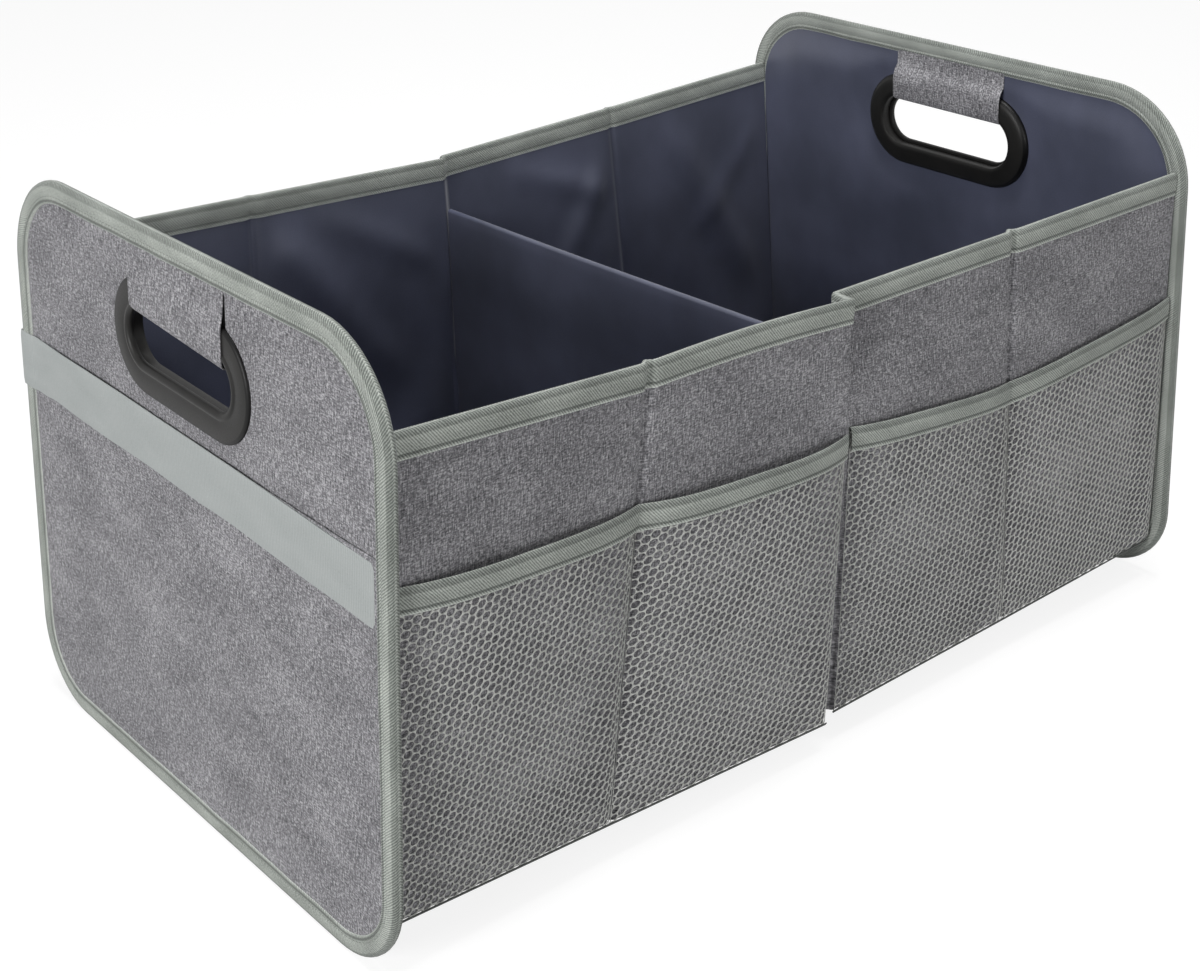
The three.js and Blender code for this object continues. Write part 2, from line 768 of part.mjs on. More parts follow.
// Base boards rest on the bottom lining, one on each side of the divider
function baseBoard(sign) {
  const dividerHalf = dividerBoardThickness / 2 + layerGap + liningThickness;
  const dividerAlong = sign > 0
    ? Math.max(dividerFront.along, dividerBack.along) + dividerHalf
    : Math.min(dividerFront.along, dividerBack.along) - dividerHalf;
  const middle = dividerAlong + sign * baseBoardMargin;
  const end = sign * (wallEndAt(wallBottomAtEnd) - baseBoardMargin);
  const inward = Math.max(cornerRadiusAtEnd, Math.max(frontTuckDepth, backTuckDepth) + cornerRadiusInside);
  const halfWidth = Math.min(frontWall.plane, backWall.plane) - inward - baseBoardMargin;
  const layer = (lift) => [middle, end].map((along) => {
    const height = wallBottomAt(along) + bottomLiningTop + 2 * layerGap + lift;
    return [-halfWidth, halfWidth].map((across) => new THREE.Vector3(along, across, height));
  });
  return sheetBetween(layer(0), layer(baseBoardThickness));
}

addEndPanel('near');
addEndPanel('far');

for (const [name, wall] of [['front', frontWall], ['back', backWall]]) {
  addMesh(`${name}_wall_cover`, wallSheet(wall, wallCoverDepth, coverThickness, wallCoverDepth), coverLook);
  addMesh(`${name}_wall_lining`, wallSheet(wall, wallLiningDepth, liningThickness, bottomLiningDepth), liningLook);
  addMesh(`${name}_wall_tape`, wallTape(wall), tapeLook);
  for (let quarter = 0; quarter < 4; quarter++) {
    addMesh(`${name}_wall_board_${quarter + 1}`, wallBoard(wall, quarter), boardLook);
  }
}

pocketStations.forEach((station, i) => {
  addMesh(`mesh_pocket_${i + 1}`, meshPocket(station), meshLook);
  addMesh(`mesh_pocket_tape_${i + 1}`, pocketTape(station), tapeLook);
});

addMesh('bottom_cover', bottomSheet(coverThickness, 0, coverThickness), coverLook);
addMesh('bottom_lining', bottomSheet(wallThickness, bottomLiningDepth, liningThickness), liningLook);
addMesh('divider_board', dividerBoard(), boardLook);
addMesh('divider_cover', dividerCover(), liningLook);
addMesh('near_base_board', baseBoard(-1), liningLook);
addMesh('far_base_board', baseBoard(1), liningLook);

export default organizer;
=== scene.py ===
# Collapsible car trunk organizer, standing open: the looks of its cloth, tape, mesh, handles and stitching.
# Metres, +Z up. The near end panel faces -X and the front wall, with the mesh pockets, faces -Y.
# Shapes are worked out in millimetres and turned to metres where a mesh is made.
import math

import bpy
from mathutils import Matrix, Vector, noise


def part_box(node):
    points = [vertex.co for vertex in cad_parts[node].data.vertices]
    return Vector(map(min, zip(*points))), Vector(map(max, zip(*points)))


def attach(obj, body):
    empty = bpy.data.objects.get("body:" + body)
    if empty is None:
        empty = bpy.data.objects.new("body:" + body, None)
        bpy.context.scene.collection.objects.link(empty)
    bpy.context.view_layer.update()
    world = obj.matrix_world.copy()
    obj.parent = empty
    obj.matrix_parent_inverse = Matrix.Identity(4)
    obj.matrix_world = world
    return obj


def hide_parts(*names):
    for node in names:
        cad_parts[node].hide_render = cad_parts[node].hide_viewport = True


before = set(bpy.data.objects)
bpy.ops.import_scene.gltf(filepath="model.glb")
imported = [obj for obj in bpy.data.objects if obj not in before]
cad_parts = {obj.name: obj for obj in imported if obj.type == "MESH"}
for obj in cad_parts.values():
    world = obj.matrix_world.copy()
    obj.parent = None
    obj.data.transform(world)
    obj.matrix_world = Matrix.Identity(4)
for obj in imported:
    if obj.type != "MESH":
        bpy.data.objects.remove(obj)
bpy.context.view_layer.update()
bpy.ops.object.select_all(action="DESELECT")

MM = 0.001


def node_box(node):
    """A node's lowest and highest corners, in millimetres."""
    low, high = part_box(node)
    return low / MM, high / MM


# End panels. Depth 0 is the outer face of the binding and grows towards the inside.
binding_low, binding_high = node_box("near_end_binding")
HALF_LENGTH = -binding_low.x
PANEL_HEIGHT = binding_high.z
PANEL_HALF_WIDTH = 175.0
PANEL_TAPER = 5.5
PANEL_TOP_RADIUS = 53.0
PANEL_BOTTOM_RADIUS = 45.0
LEAN_SLOPE = 23.0 / PANEL_HEIGHT
BINDING_WIDTH = 10.5
BINDING_DEPTH = 5.3
COVER_DEPTH = 1.9
POCKET_DEPTH = 1.3
BAND_DEPTH = 0.7
LINING_DEPTH = 4.95
CLOTH_INSET = 0.9
END_BOARD_THICKNESS = 1.8

# Cloth and tape
CLOTH_THICKNESS = 0.45
LOOSE_CLOTH_THICKNESS = 0.4
BAND_THICKNESS = 0.5
FLAT_TAPE_THICKNESS = 0.3
BINDING_TAPE_THICKNESS = 0.36

# Handle grommet
frame_low, frame_high = node_box("near_handle_outer_frame")
HANDLE_HEIGHT = (frame_low.z + frame_high.z) / 2
HANDLE_RIM = 15.0
HOLE_RADIUS = (frame_high.z - frame_low.z) / 2 - HANDLE_RIM
HOLE_REACH = frame_high.y - HANDLE_RIM - HOLE_RADIUS
FRAME_PROUD = 1.9
INNER_FRAME_PROUD = 4.6

# Slip pocket and its band
BAND_TOP = node_box("near_pocket_band")[1].z
BAND_WIDTH = 30.0

# Long walls
FRONT_CREASE = 2.6
BACK_CREASE = -1.4
FRONT_TOP_HUMP = 1.8
TUCK_OPENING = 10.0
TUCK_TOP = 0.74
TUCK_FORWARD = 7.0
TUCK_FORWARD_TOP = 0.88
WALL_TAPE_WIDTH = 12.0
BOARD_DEPTH = (0.6, 1.5)

# Mesh pockets. A net goes round NET_UNDER of the corner's radius.
POCKET_TAPE_WIDTH = 12.5
NET_STANDOFF = 1.2
NET_HEM_STANDOFF = 0.7
NET_SIDE_HEM = 1.6
NET_FOOT = 20.0
NET_UNDER = 0.65
NET_THICKNESS = 0.52

# A net's cells. The last three values turn its rows and lean its columns, because the knit lies on the skew.
NET_PITCH = 4.8
NET_ROW = 3.6
NET_HOLE = (2.26, 1.96)
NET_STRAIGHT = 0.917
NET_CLIMB = 0.417
NET_LEAN = 0.389

# Divider and base boards
DIVIDER_HALF = 1.6
DIVIDER_ENDS = (5.5, -4.0)
DIVIDER_TOPS = (224.0, 222.4)
BASE_BOARD_THICKNESS = 3.0


def mix(a, b, t):
    return a + (b - a) * t


def clamp(value, low=0.0, high=1.0):
    return max(low, min(high, value))


def smooth(value):
    t = clamp(value)
    return t * t * (3 - 2 * t)


def steps(count):
    return [i / count for i in range(count + 1)]


def ripple(x, y, size, seed=0.0):
    """Soft uneven cloth, from -1 to 1, with waves of about a size in millimetres."""
    return noise.noise(Vector((x / size, y / size, seed)))


# Materials

def linear(hex_colour):
    """An sRGB hex colour as a linear one."""
    channels = [int(hex_colour[i:i + 2], 16) / 255 for i in (1, 3, 5)]
    return [c / 12.92 if c <= 0.04045 else ((c + 0.055) / 1.055) ** 2.4 for c in channels] + [1.0]


def connect(tree, node, inputs):
    """Links each named input of a node to a socket, or sets its value."""
    for key, value in inputs.items():
        socket = node.inputs[key]
        if isinstance(value, bpy.types.NodeSocket):
            tree.links.new(value, socket)
        else:
            socket.default_value = value


def add_node(tree, kind, inputs=(), stops=(), **settings):
    """Adds a node with its settings and inputs, and with its colour stops where it is a ramp."""
    node = tree.nodes.new(kind)
    for key, value in settings.items():
        setattr(node, key, value)
    connect(tree, node, dict(inputs))
    if stops:
        elements = node.color_ramp.elements
        while len(elements) < len(stops):
            elements.new(0.5)
        for element, (place, colour) in zip(elements, stops):
            element.position = place
            element.color = linear(colour)
    return node


def new_material(name):
    material = bpy.data.materials.new(name)
    material.use_nodes = True
    tree = material.node_tree
    return material, tree, tree.nodes["Principled BSDF"]


def scaled_noise(tree, place, scale, detail=2.0, rough=0.5, seed=0.0):
    """Noise on coordinates that are first stretched, each number a size in the units of the coordinates."""
    size = add_node(tree, "ShaderNodeMapping", {
        "Vector": place,
        "Location": (seed, seed * 1.7, 0),
        "Scale": tuple(1 / s for s in scale),
    })
    return add_node(tree, "ShaderNodeTexNoise", {
        "Vector": size.outputs["Vector"],
        "Scale": 1.0,
        "Detail": detail,
        "Roughness": rough,
    }).outputs["Fac"]


def stripe(tree, value, centre, half, soft):
    """1 where a value is within a half width of a centre, falling to 0 over a soft edge."""
    away = add_node(tree, "ShaderNodeMath", {0: value, 1: centre}, operation="SUBTRACT")
    distance = add_node(tree, "ShaderNodeMath", {0: away.outputs[0]}, operation="ABSOLUTE")
    return add_node(tree, "ShaderNodeMapRange", {
        "Value": distance.outputs[0], "From Min": half, "From Max": half + soft, "To Min": 1.0, "To Max": 0.0,
    }).outputs["Result"]


def blended(tree, *parts):
    """The sum of patterns, each times its weight."""
    total = 0.0
    for pattern, weight in parts:
        step = add_node(tree, "ShaderNodeMath", {0: pattern, 1: weight, 2: total}, operation="MULTIPLY_ADD")
        total = step.outputs[0]
    return total


def melange_cloth(name, dark, middle, light):
    """Melange woven polyester, plain weave of slubby two-tone yarn: short pale and dark flecks along both
    yarn directions, matt, with a dry grainy face. The flecks are drawn at their real length of 3 to 6 mm."""
    material, tree, shader = new_material(name)
    place = add_node(tree, "ShaderNodeTexCoord").outputs["UV"]
    weft = scaled_noise(tree, place, (2.8, 0.7, 1), 2.0, 0.6)
    warp = scaled_noise(tree, place, (0.7, 5.5, 1), 2.0, 0.6, seed=31.0)
    grain = scaled_noise(tree, place, (1.0, 1.2, 1), 2.0, 0.7, seed=63.0)
    cloud = scaled_noise(tree, place, (38.0, 30.0, 1), 2.0, 0.5, seed=97.0)
    flecks = blended(tree, (weft, 0.29), (warp, 0.33), (grain, 0.38), (cloud, 0.10))
    stops = [(0.44, dark), (0.55, middle), (0.66, light)]
    colour = add_node(tree, "ShaderNodeValToRGB", {"Fac": flecks}, stops)
    relief = add_node(tree, "ShaderNodeBump", {"Height": flecks, "Strength": 0.4, "Distance": 0.3 * MM})
    connect(tree, shader, {
        "Base Color": colour.outputs["Color"],
        "Normal": relief.outputs["Normal"],
        "Roughness": 0.92,
        "Sheen Weight": 0.12,
        "Sheen Roughness": 0.5,
    })
    return material


def coated_lining(name, dark, light):
    """Oxford polyester with a coated back, navy: smooth and close, with a faint weave and a soft satin sheen
    that shows every shallow fold."""
    material, tree, shader = new_material(name)
    place = add_node(tree, "ShaderNodeTexCoord").outputs["UV"]
    weave = scaled_noise(tree, place, (0.9, 0.9, 1), 2.0, 0.5)
    cloud = scaled_noise(tree, place, (45.0, 60.0, 1), 3.0, 0.55, seed=12.0)
    tone = blended(tree, (weave, 0.25), (cloud, 0.75))
    colour = add_node(tree, "ShaderNodeValToRGB", {"Fac": tone}, [(0.35, dark), (0.65, light)])
    relief = add_node(tree, "ShaderNodeBump", {"Height": weave, "Strength": 0.25, "Distance": 0.15 * MM})
    connect(tree, shader, {
        "Base Color": colour.outputs["Color"],
        "Normal": relief.outputs["Normal"],
        "Roughness": 0.44,
        "Specular IOR Level": 0.7,
        "Sheen Weight": 0.3,
        "Sheen Roughness": 0.4,
    })
    return material


# The scale of a wave texture that has about one band in each unit of its coordinate
WAVE_SCALE = 2 / math.tau


def ribbed_tape(name, dark, middle, light, rib, slant, edges=1.0):
    """Grosgrain polyester tape: fine cross ribs, a dull silky face and paler rib tops. The ribs are drawn a
    little coarser than the real 0.5 mm, so that they show. Where edges is 1, a pale line runs along a tape's
    edge, and painted shade darkens the stitch line's hollow and a band along the tape's fold."""
    material, tree, shader = new_material(name)
    place = add_node(tree, "ShaderNodeTexCoord").outputs["UV"]
    parts = add_node(tree, "ShaderNodeSeparateXYZ", {"Vector": place})
    along = parts.outputs["X"]
    height = parts.outputs["Y"]
    turned = add_node(tree, "ShaderNodeCombineXYZ", {
        "X": blended(tree, (along, 1 / rib), (height, slant / rib)),
        "Y": blended(tree, (height, 0.2)),
    })
    ribs = add_node(tree, "ShaderNodeTexWave", {
        "Vector": turned.outputs["Vector"],
        "Scale": WAVE_SCALE,
        "Distortion": 2.4,
        "Detail": 2.0,
        "Detail Scale": 1.5,
    }, wave_type="BANDS", bands_direction="X").outputs["Fac"]
    grain = scaled_noise(tree, place, (1.0, 0.8, 1), 2.0, 0.6)
    cloud = scaled_noise(tree, place, (30.0, 12.0, 1), 2.0, 0.5, seed=7.0)
    # A pale line along the edge. Then painted shade: darker in the stitch line's hollow and along the fold,
    # where shade falls.
    pale_edge_line = stripe(tree, height, 0.0, 0.7, 0.4)
    groove_shade = stripe(tree, height, 2.3, 0.3, 0.6)
    fold = stripe(tree, height, 11.2, 1.2, 0.8)
    tone = blended(tree, (ribs, 0.28), (grain, 0.44), (cloud, 0.28),
                   (pale_edge_line, 0.22 * edges), (groove_shade, -0.24 * edges), (fold, -0.16 * edges))
    # The darkest stop carries the painted shade in the stitch line's hollow and along the fold.
    colour = add_node(tree, "ShaderNodeValToRGB", {"Fac": tone}, [
        (0.08, "#3d403d"), (0.30, dark), (0.50, middle), (0.72, light), (0.95, "#e2e6e0"),
    ])
    relief = add_node(tree, "ShaderNodeBump", {"Height": tone, "Strength": 0.6, "Distance": 0.3 * MM})
    connect(tree, shader, {
        "Base Color": colour.outputs["Color"],
        "Normal": relief.outputs["Normal"],
        "Roughness": 0.78,
        "Sheen Weight": 0.15,
    })
    return material


def plain_yarn(name, dark, light):
    """Spun polyester yarn, knitted as net, woven as narrow hem tape or used as thread: matt, with a slight
    change of tone along it."""
    material, tree, shader = new_material(name)
    place = add_node(tree, "ShaderNodeTexCoord").outputs["Object"]
    tone = scaled_noise(tree, place, (2.2 * MM, 2.2 * MM, 1.6 * MM), 2.0, 0.6)
    colour = add_node(tree, "ShaderNodeValToRGB", {"Fac": tone}, [(0.3, dark), (0.7, light)])
    relief = add_node(tree, "ShaderNodeBump", {"Height": tone, "Strength": 0.3, "Distance": 0.2 * MM})
    connect(tree, shader, {
        "Base Color": colour.outputs["Color"],
        "Normal": relief.outputs["Normal"],
        "Roughness": 0.75,
        "Sheen Weight": 0.1,
    })
    return material


def moulded_plastic(name, dark, light):
    """Polypropylene, injection moulded with a fine spark-eroded texture: near black, satin, with soft edges
    that catch the light, and a blacker line of painted shade round its outer edge, where it meets the cloth."""
    material, tree, shader = new_material(name)
    places = add_node(tree, "ShaderNodeTexCoord").outputs
    grit = scaled_noise(tree, places["Object"], (0.6 * MM, 0.6 * MM, 0.6 * MM), 2.0, 0.6)
    cloud = scaled_noise(tree, places["Object"], (18 * MM, 18 * MM, 18 * MM), 2.0, 0.5)
    across = add_node(tree, "ShaderNodeSeparateXYZ", {"Vector": places["UV"]}).outputs["Y"]
    plain = add_node(tree, "ShaderNodeValToRGB", {"Fac": cloud}, [(0.3, dark), (0.7, light)])
    # Painted shade: a near-black line round the frame's outer edge stands for the shadow where the frame
    # meets the cloth.
    colour = add_node(tree, "ShaderNodeMix", {
        "Factor": stripe(tree, across, HANDLE_RIM - 0.1, 1.5, 0.3),
        "A": plain.outputs["Color"],
        "B": linear("#040404"),
    }, data_type="RGBA")
    rough = add_node(tree, "ShaderNodeMapRange", {
        "Value": grit, "From Min": 0.3, "From Max": 0.7, "To Min": 0.38, "To Max": 0.5,
    })
    relief = add_node(tree, "ShaderNodeBump", {"Height": grit, "Strength": 0.15, "Distance": 0.08 * MM})
    connect(tree, shader, {
        "Base Color": colour.outputs["Result"],
        "Normal": relief.outputs["Normal"],
        "Roughness": rough.outputs["Result"],
        "Specular IOR Level": 0.22,
        "IOR": 1.49,
    })
    return material


def pressed_board(name, dark, light):
    """Grey chipboard, pressed from waste paper: dull, with small flecks."""
    material, tree, shader = new_material(name)
    place = add_node(tree, "ShaderNodeTexCoord").outputs["Object"]
    flecks = scaled_noise(tree, place, (1.5 * MM, 1.5 * MM, 1.5 * MM), 4.0, 0.7)
    colour = add_node(tree, "ShaderNodeValToRGB", {"Fac": flecks}, [(0.35, dark), (0.65, light)])
    relief = add_node(tree, "ShaderNodeBump", {"Height": flecks, "Strength": 0.2, "Distance": 0.1 * MM})
    connect(tree, shader, {
        "Base Color": colour.outputs["Color"],
        "Normal": relief.outputs["Normal"],
        "Roughness": 0.95,
    })
    return material


COVER = melange_cloth("melange_woven_polyester", "#3d3d40", "#7a797d", "#c1c0c3")
LINING = coated_lining("coated_oxford_lining", "#3f4354", "#505468")
TAPE = ribbed_tape("grosgrain_binding_tape", "#646964", "#969b95", "#cacfc8", 1.5, 0.9)
BAND = ribbed_tape("fine_ribbed_band", "#989d9c", "#a3a8a7", "#aeb2b1", 1.3, 0, 0.0)
# Near black as painted shade: the shadow under the front wall's rounded bottom, where the net's hem lies.
PAINTED_SHADE_HEM = plain_yarn("hem_tape_painted_shade", "#2b2d2b", "#3b3e3b")
NET = plain_yarn("knitted_mesh_yarn", "#afb0ac", "#d6d7d3")
THREAD = plain_yarn("sewing_thread", "#5b605b", "#858b85")
PLASTIC = moulded_plastic("textured_black_polypropylene", "#171716", "#201f1e")
BOARD = pressed_board("grey_chipboard", "#2b2b2c", "#3b3b3b")


# Meshes

def flatten_uv(mesh, places, cloth):
    """Writes each point's place on the cloth, in millimetres, to the mesh's map."""
    layer = mesh.uv_layers.active or mesh.uv_layers.new(name="UVMap")
    for loop in mesh.loops:
        row, column = places[loop.vertex_index]
        layer.data[loop.index].uv = cloth[row][column]


def grid_piece(name, rows, cloth):
    """A grid primitive whose points take their places from rows of points."""
    bpy.ops.object.select_all(action="DESELECT")
    down = len(rows) - 1
    across = len(rows[0]) - 1
    bpy.ops.mesh.primitive_grid_add(x_subdivisions=across, y_subdivisions=down, size=2.0, calc_uvs=True)
    piece = bpy.context.object
    piece.name = name
    mesh = piece.data
    mesh.name = name
    places = [(round((v.co.y + 1) / 2 * down), round((v.co.x + 1) / 2 * across)) for v in mesh.vertices]
    flatten_uv(mesh, places, cloth)
    for vertex, (row, column) in zip(mesh.vertices, places):
        vertex.co = Vector(rows[row][column]) * MM
    return piece


def surface(across, down, point_at):
    """A patch of cloth: rows of points, and of their places on the cloth, which a function gives in pairs."""
    grid = [[point_at(s, t) for s in across] for t in down]
    return [[point for point, _ in row] for row in grid], [[flat for _, flat in row] for row in grid]


def select_only(*pieces):
    bpy.ops.object.select_all(action="DESELECT")
    for piece in pieces:
        piece.select_set(True)
    bpy.context.view_layer.objects.active = pieces[0]


def finish_mesh(piece, thickness=0.0, closed=False, angle=50.0):
    """Merges seams between patches, turns a closed form's faces out and gives a sheet its thickness."""
    select_only(piece)
    bpy.ops.object.mode_set(mode="EDIT")
    bpy.ops.mesh.select_all(action="SELECT")
    bpy.ops.mesh.remove_doubles(threshold=0.01 * MM)
    if closed:
        bpy.ops.mesh.normals_make_consistent(inside=False)
    bpy.ops.object.mode_set(mode="OBJECT")
    if thickness:
        solidify = piece.modifiers.new("thickness", "SOLIDIFY")
        solidify.thickness = thickness * MM
        solidify.offset = 0.0
        bpy.ops.object.modifier_apply(modifier=solidify.name)
    bpy.ops.object.shade_smooth_by_angle(angle=math.radians(angle))
    return piece


def join_patches(name, *patches, **finish):
    """One piece of cloth from several grids that meet along shared edges."""
    pieces = [grid_piece(name, rows, cloth) for rows, cloth in patches]
    select_only(*pieces)
    if len(pieces) > 1:
        bpy.ops.object.join()
    joined = pieces[0]
    joined.name = name
    joined.data.name = name
    return finish_mesh(joined, **finish)


def mesh_piece(name, vertices, faces, **finish):
    """One piece of many small repeated shapes, from points in metres and their faces."""
    mesh = bpy.data.meshes.new(name)
    mesh.from_pydata(vertices, [], faces)
    mesh.validate()
    piece = bpy.data.objects.new(name, mesh)
    bpy.context.collection.objects.link(piece)
    return finish_mesh(piece, **finish)


def settle(piece, material, slot, *nodes):
    """Gives a finished piece its material and its body, and hides the nodes that it stands for. Its slot is
    not used.
    """
    piece.data.materials.clear()
    piece.data.materials.append(material)
    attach(piece, "root")
    if nodes:
        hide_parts(*nodes)


def running_lengths(points):
    total = 0.0
    lengths = [0.0]
    for a, b in zip(points, points[1:]):
        total += (Vector(b) - Vector(a)).length
        lengths.append(total)
    return lengths


# End panels

def from_handle(y, z):
    """How far a place on a panel is from the outer edge of its handle frame."""
    return math.hypot(max(abs(y) - HOLE_REACH, 0.0), z - HANDLE_HEIGHT) - HOLE_RADIUS - HANDLE_RIM


class EndPanel:
    """One end panel: its tab's cuts, and how its handle was sewn in, a little low and turned, with a slit
    beside it. A place on it is y, z and a depth inwards."""

    def __init__(self, name, side, tab_edges, tab_hang, drop, turn, slit):
        self.name = name
        self.side = side
        self.tab_edges = tab_edges
        self.tab_hang = tab_hang
        self.drop = drop
        self.turn = turn
        self.slit = slit

    def place(self, y, z, depth):
        z += (self.turn * y - self.drop) * (1 - smooth(from_handle(y, z) / 12.0))
        return (self.side * (HALF_LENGTH - depth - LEAN_SLOPE * z), y, z)


NEAR = EndPanel("near", -1, (-41.5, 43.5), (4.6, 1.6), 2.4, 0.022, 1.3)
FAR = EndPanel("far", 1, (-43.0, 40.0), (0.0, 0.0), 0.0, 0.0, 0.0)

SIDE_TILT = math.atan(PANEL_TAPER / PANEL_HEIGHT)
ARC_STEPS = 14
BOTTOM_STEPS = 56
SIDE_STEPS = 44
TOP_STEPS = 50


def corner_centre(height, radius):
    return PANEL_HALF_WIDTH - (height * math.sin(SIDE_TILT) + radius) / math.cos(SIDE_TILT)


LOW_CENTRE = (corner_centre(PANEL_BOTTOM_RADIUS, PANEL_BOTTOM_RADIUS), PANEL_BOTTOM_RADIUS)
HIGH_CENTRE_Z = PANEL_HEIGHT - PANEL_TOP_RADIUS
HIGH_CENTRE = (corner_centre(HIGH_CENTRE_Z, PANEL_TOP_RADIUS), HIGH_CENTRE_Z)


def half_width(height, inset):
    """Half the panel's width at a height, inside its outline moved in by an inset."""
    low_y, low_z = LOW_CENTRE
    high_y, high_z = HIGH_CENTRE
    if height < low_z + (PANEL_BOTTOM_RADIUS - inset) * math.sin(SIDE_TILT):
        reach = PANEL_BOTTOM_RADIUS - inset
        return low_y + math.sqrt(max(reach ** 2 - (height - low_z) ** 2, 0.0))
    if height > high_z + (PANEL_TOP_RADIUS - inset) * math.sin(SIDE_TILT):
        reach = PANEL_TOP_RADIUS - inset
        return high_y + math.sqrt(max(reach ** 2 - (height - high_z) ** 2, 0.0))
    return PANEL_HALF_WIDTH - (inset + height * math.sin(SIDE_TILT)) / math.cos(SIDE_TILT)


def outline(inset):
    """Points (y, z) round the panel, moved in by an inset, in the same order for every inset."""
    low_y, low_z = LOW_CENTRE
    high_y, high_z = HIGH_CENTRE
    quarter = math.pi / 2
    corners = [
        (low_y, low_z, PANEL_BOTTOM_RADIUS - inset, -quarter, SIDE_TILT, SIDE_STEPS),
        (high_y, high_z, PANEL_TOP_RADIUS - inset, SIDE_TILT, quarter, TOP_STEPS),
        (-high_y, high_z, PANEL_TOP_RADIUS - inset, quarter, math.pi - SIDE_TILT, SIDE_STEPS),
        (-low_y, low_z, PANEL_BOTTOM_RADIUS - inset, math.pi - SIDE_TILT, 3 * quarter, BOTTOM_STEPS),
    ]
    arcs = []
    for y, z, radius, start, stop, _ in corners:
        arcs.append([(y + radius * math.cos(mix(start, stop, t)), z + radius * math.sin(mix(start, stop, t)))
                     for t in steps(ARC_STEPS)])
    points = []
    for i, arc in enumerate(arcs):
        points += arc
        goal = arcs[(i + 1) % 4][0]
        for t in steps(corners[i][5])[1:-1]:
            points.append((mix(arc[-1][0], goal[0], t), mix(arc[-1][1], goal[1], t)))
    points.append(points[0])
    return points


# Half of the binding's section, from its outer flange's edge to the fold, as (distance from the edge, depth)
BINDING_SECTION = [
    (10.6, 1.7), (10.55, 0.85), (10.2, 0.55), (9.4, 0.45), (8.2, 0.5), (7.7, 0.85), (7.1, 0.85), (6.6, 0.45),
    (4.6, 0.35), (2.6, 0.4), (1.2, 0.65), (0.4, 1.3), (0.05, 2.2), (0.0, 3.0),
]
BINDING_FOLD_DEPTH = BINDING_SECTION[-1][1]


def binding(panel):
    """Tape folded over the panel's edge and sewn through: two flat flanges and a round outer edge."""
    inner_half = [(inset, 2 * BINDING_FOLD_DEPTH - depth) for inset, depth in reversed(BINDING_SECTION[:-1])]
    section = [(inset + BINDING_TAPE_THICKNESS / 2, depth) for inset, depth in BINDING_SECTION + inner_half]
    across = running_lengths(section)
    middle = outline(0.0)
    along = running_lengths(middle)
    rings = [outline(inset) for inset, _ in section]

    def point_at(i, k):
        inset, depth = section[k]
        y, z = rings[k][i]
        middle_y, middle_z = middle[i]
        wave = ripple(along[i], 0.0, 24.0, panel.side * 3.0 + (4.0 if depth > BINDING_FOLD_DEPTH else 0.0))
        from_join = min(along[i], along[-1] - along[i]) / 20.0
        sway = 0.45 * wave * smooth((inset - 6.0) / 4.0) * min(1.0, from_join)
        full = math.hypot(y - middle_y, z - middle_z)
        place = panel.place(y + (y - middle_y) / full * sway, z + (z - middle_z) / full * sway, depth)
        return place, (along[i], min(across[k], across[-1] - across[k]))

    patch = surface(range(len(middle)), range(len(section)), point_at)
    piece = join_patches(f"{panel.name}_edge_binding", patch, thickness=BINDING_TAPE_THICKNESS)
    settle(piece, TAPE, "binding_tape", f"{panel.name}_end_binding")


HIDDEN_RADIUS = HOLE_RADIUS + 8.0


def hidden_edge(z, edge):
    """The cloth's cut edge beside the handle: under the frame's rim, and straight above it."""
    rise = abs(z - HANDLE_HEIGHT)
    if rise >= HIDDEN_RADIUS:
        return edge if z > HANDLE_HEIGHT else HOLE_REACH
    arc = HOLE_REACH + math.sqrt(HIDDEN_RADIUS ** 2 - rise ** 2)
    return max(arc, edge) if z > HANDLE_HEIGHT else arc


SIDE_COLUMNS = 26
MIDDLE_COLUMNS = 26
CLOSE_ROWS_HEIGHT = 18.0


def spread_columns(z, low_edge, high_edge, inset):
    """Places across the panel at a height, split at two edges."""
    wide = half_width(z, inset)
    left = [mix(-wide, low_edge, t) for t in steps(SIDE_COLUMNS)]
    middle = [mix(low_edge, high_edge, t) for t in steps(MIDDLE_COLUMNS)][1:-1]
    right = [mix(high_edge, wide, t) for t in steps(SIDE_COLUMNS)]
    return left + middle + right


def panel_patches(panel, inset, root, edges, depth_at, slit=0.0):
    """Patches of a panel's cloth: below the handle, beside it on both sides, and above."""
    floor = HANDLE_HEIGHT - HIDDEN_RADIUS
    ceiling = PANEL_HEIGHT - inset
    low_z = [inset + CLOSE_ROWS_HEIGHT * t ** 1.5 for t in steps(8)]
    low_z += [mix(inset + CLOSE_ROWS_HEIGHT, floor, t) for t in steps(40)][1:]
    side_z = [mix(floor, root, t) for t in steps(24)]
    high_z = [mix(root, ceiling, t) for t in steps(8)]

    def patch(rows_of_y_z):
        rows = [[panel.place(y, z, depth_at(y, z)) for y, z in row] for row in rows_of_y_z]
        return rows, rows_of_y_z

    low = [[(y, z) for y in spread_columns(z, -HOLE_REACH, HOLE_REACH, inset)] for z in low_z]
    high = [[(y, z) for y in spread_columns(z, edges[0], edges[1], inset)] for z in high_z]
    right, left = [], []
    for z in side_z:
        wide = half_width(z, inset)
        right.append([(mix(hidden_edge(z, edges[1]), wide, t), z) for t in steps(SIDE_COLUMNS)])
        gap = slit * smooth((root - z) / 3.0) * smooth((z - HANDLE_HEIGHT) / 10.0)
        left.append([(mix(-wide, -hidden_edge(z, -edges[0]) - gap, t), z) for t in steps(SIDE_COLUMNS)])
    return [patch(low), patch(high), patch(right), patch(left)]


def edge_room(y, z):
    """0 under the binding and beside the handle frame, rising to 1 in the open cloth."""
    side = (half_width(z, BINDING_WIDTH) - abs(y)) / 30
    top = (PANEL_HEIGHT - BINDING_WIDTH - z) / 20
    bottom = (z - BINDING_WIDTH) / 30
    return smooth(min(side, top, bottom, from_handle(y, z) / 22))


def cover_depth(panel):
    def depth_at(y, z):
        return COVER_DEPTH - 0.5 * edge_room(y, z) * ripple(y, z, 60.0, panel.side)
    return depth_at


TAB_ROOT = 292.0


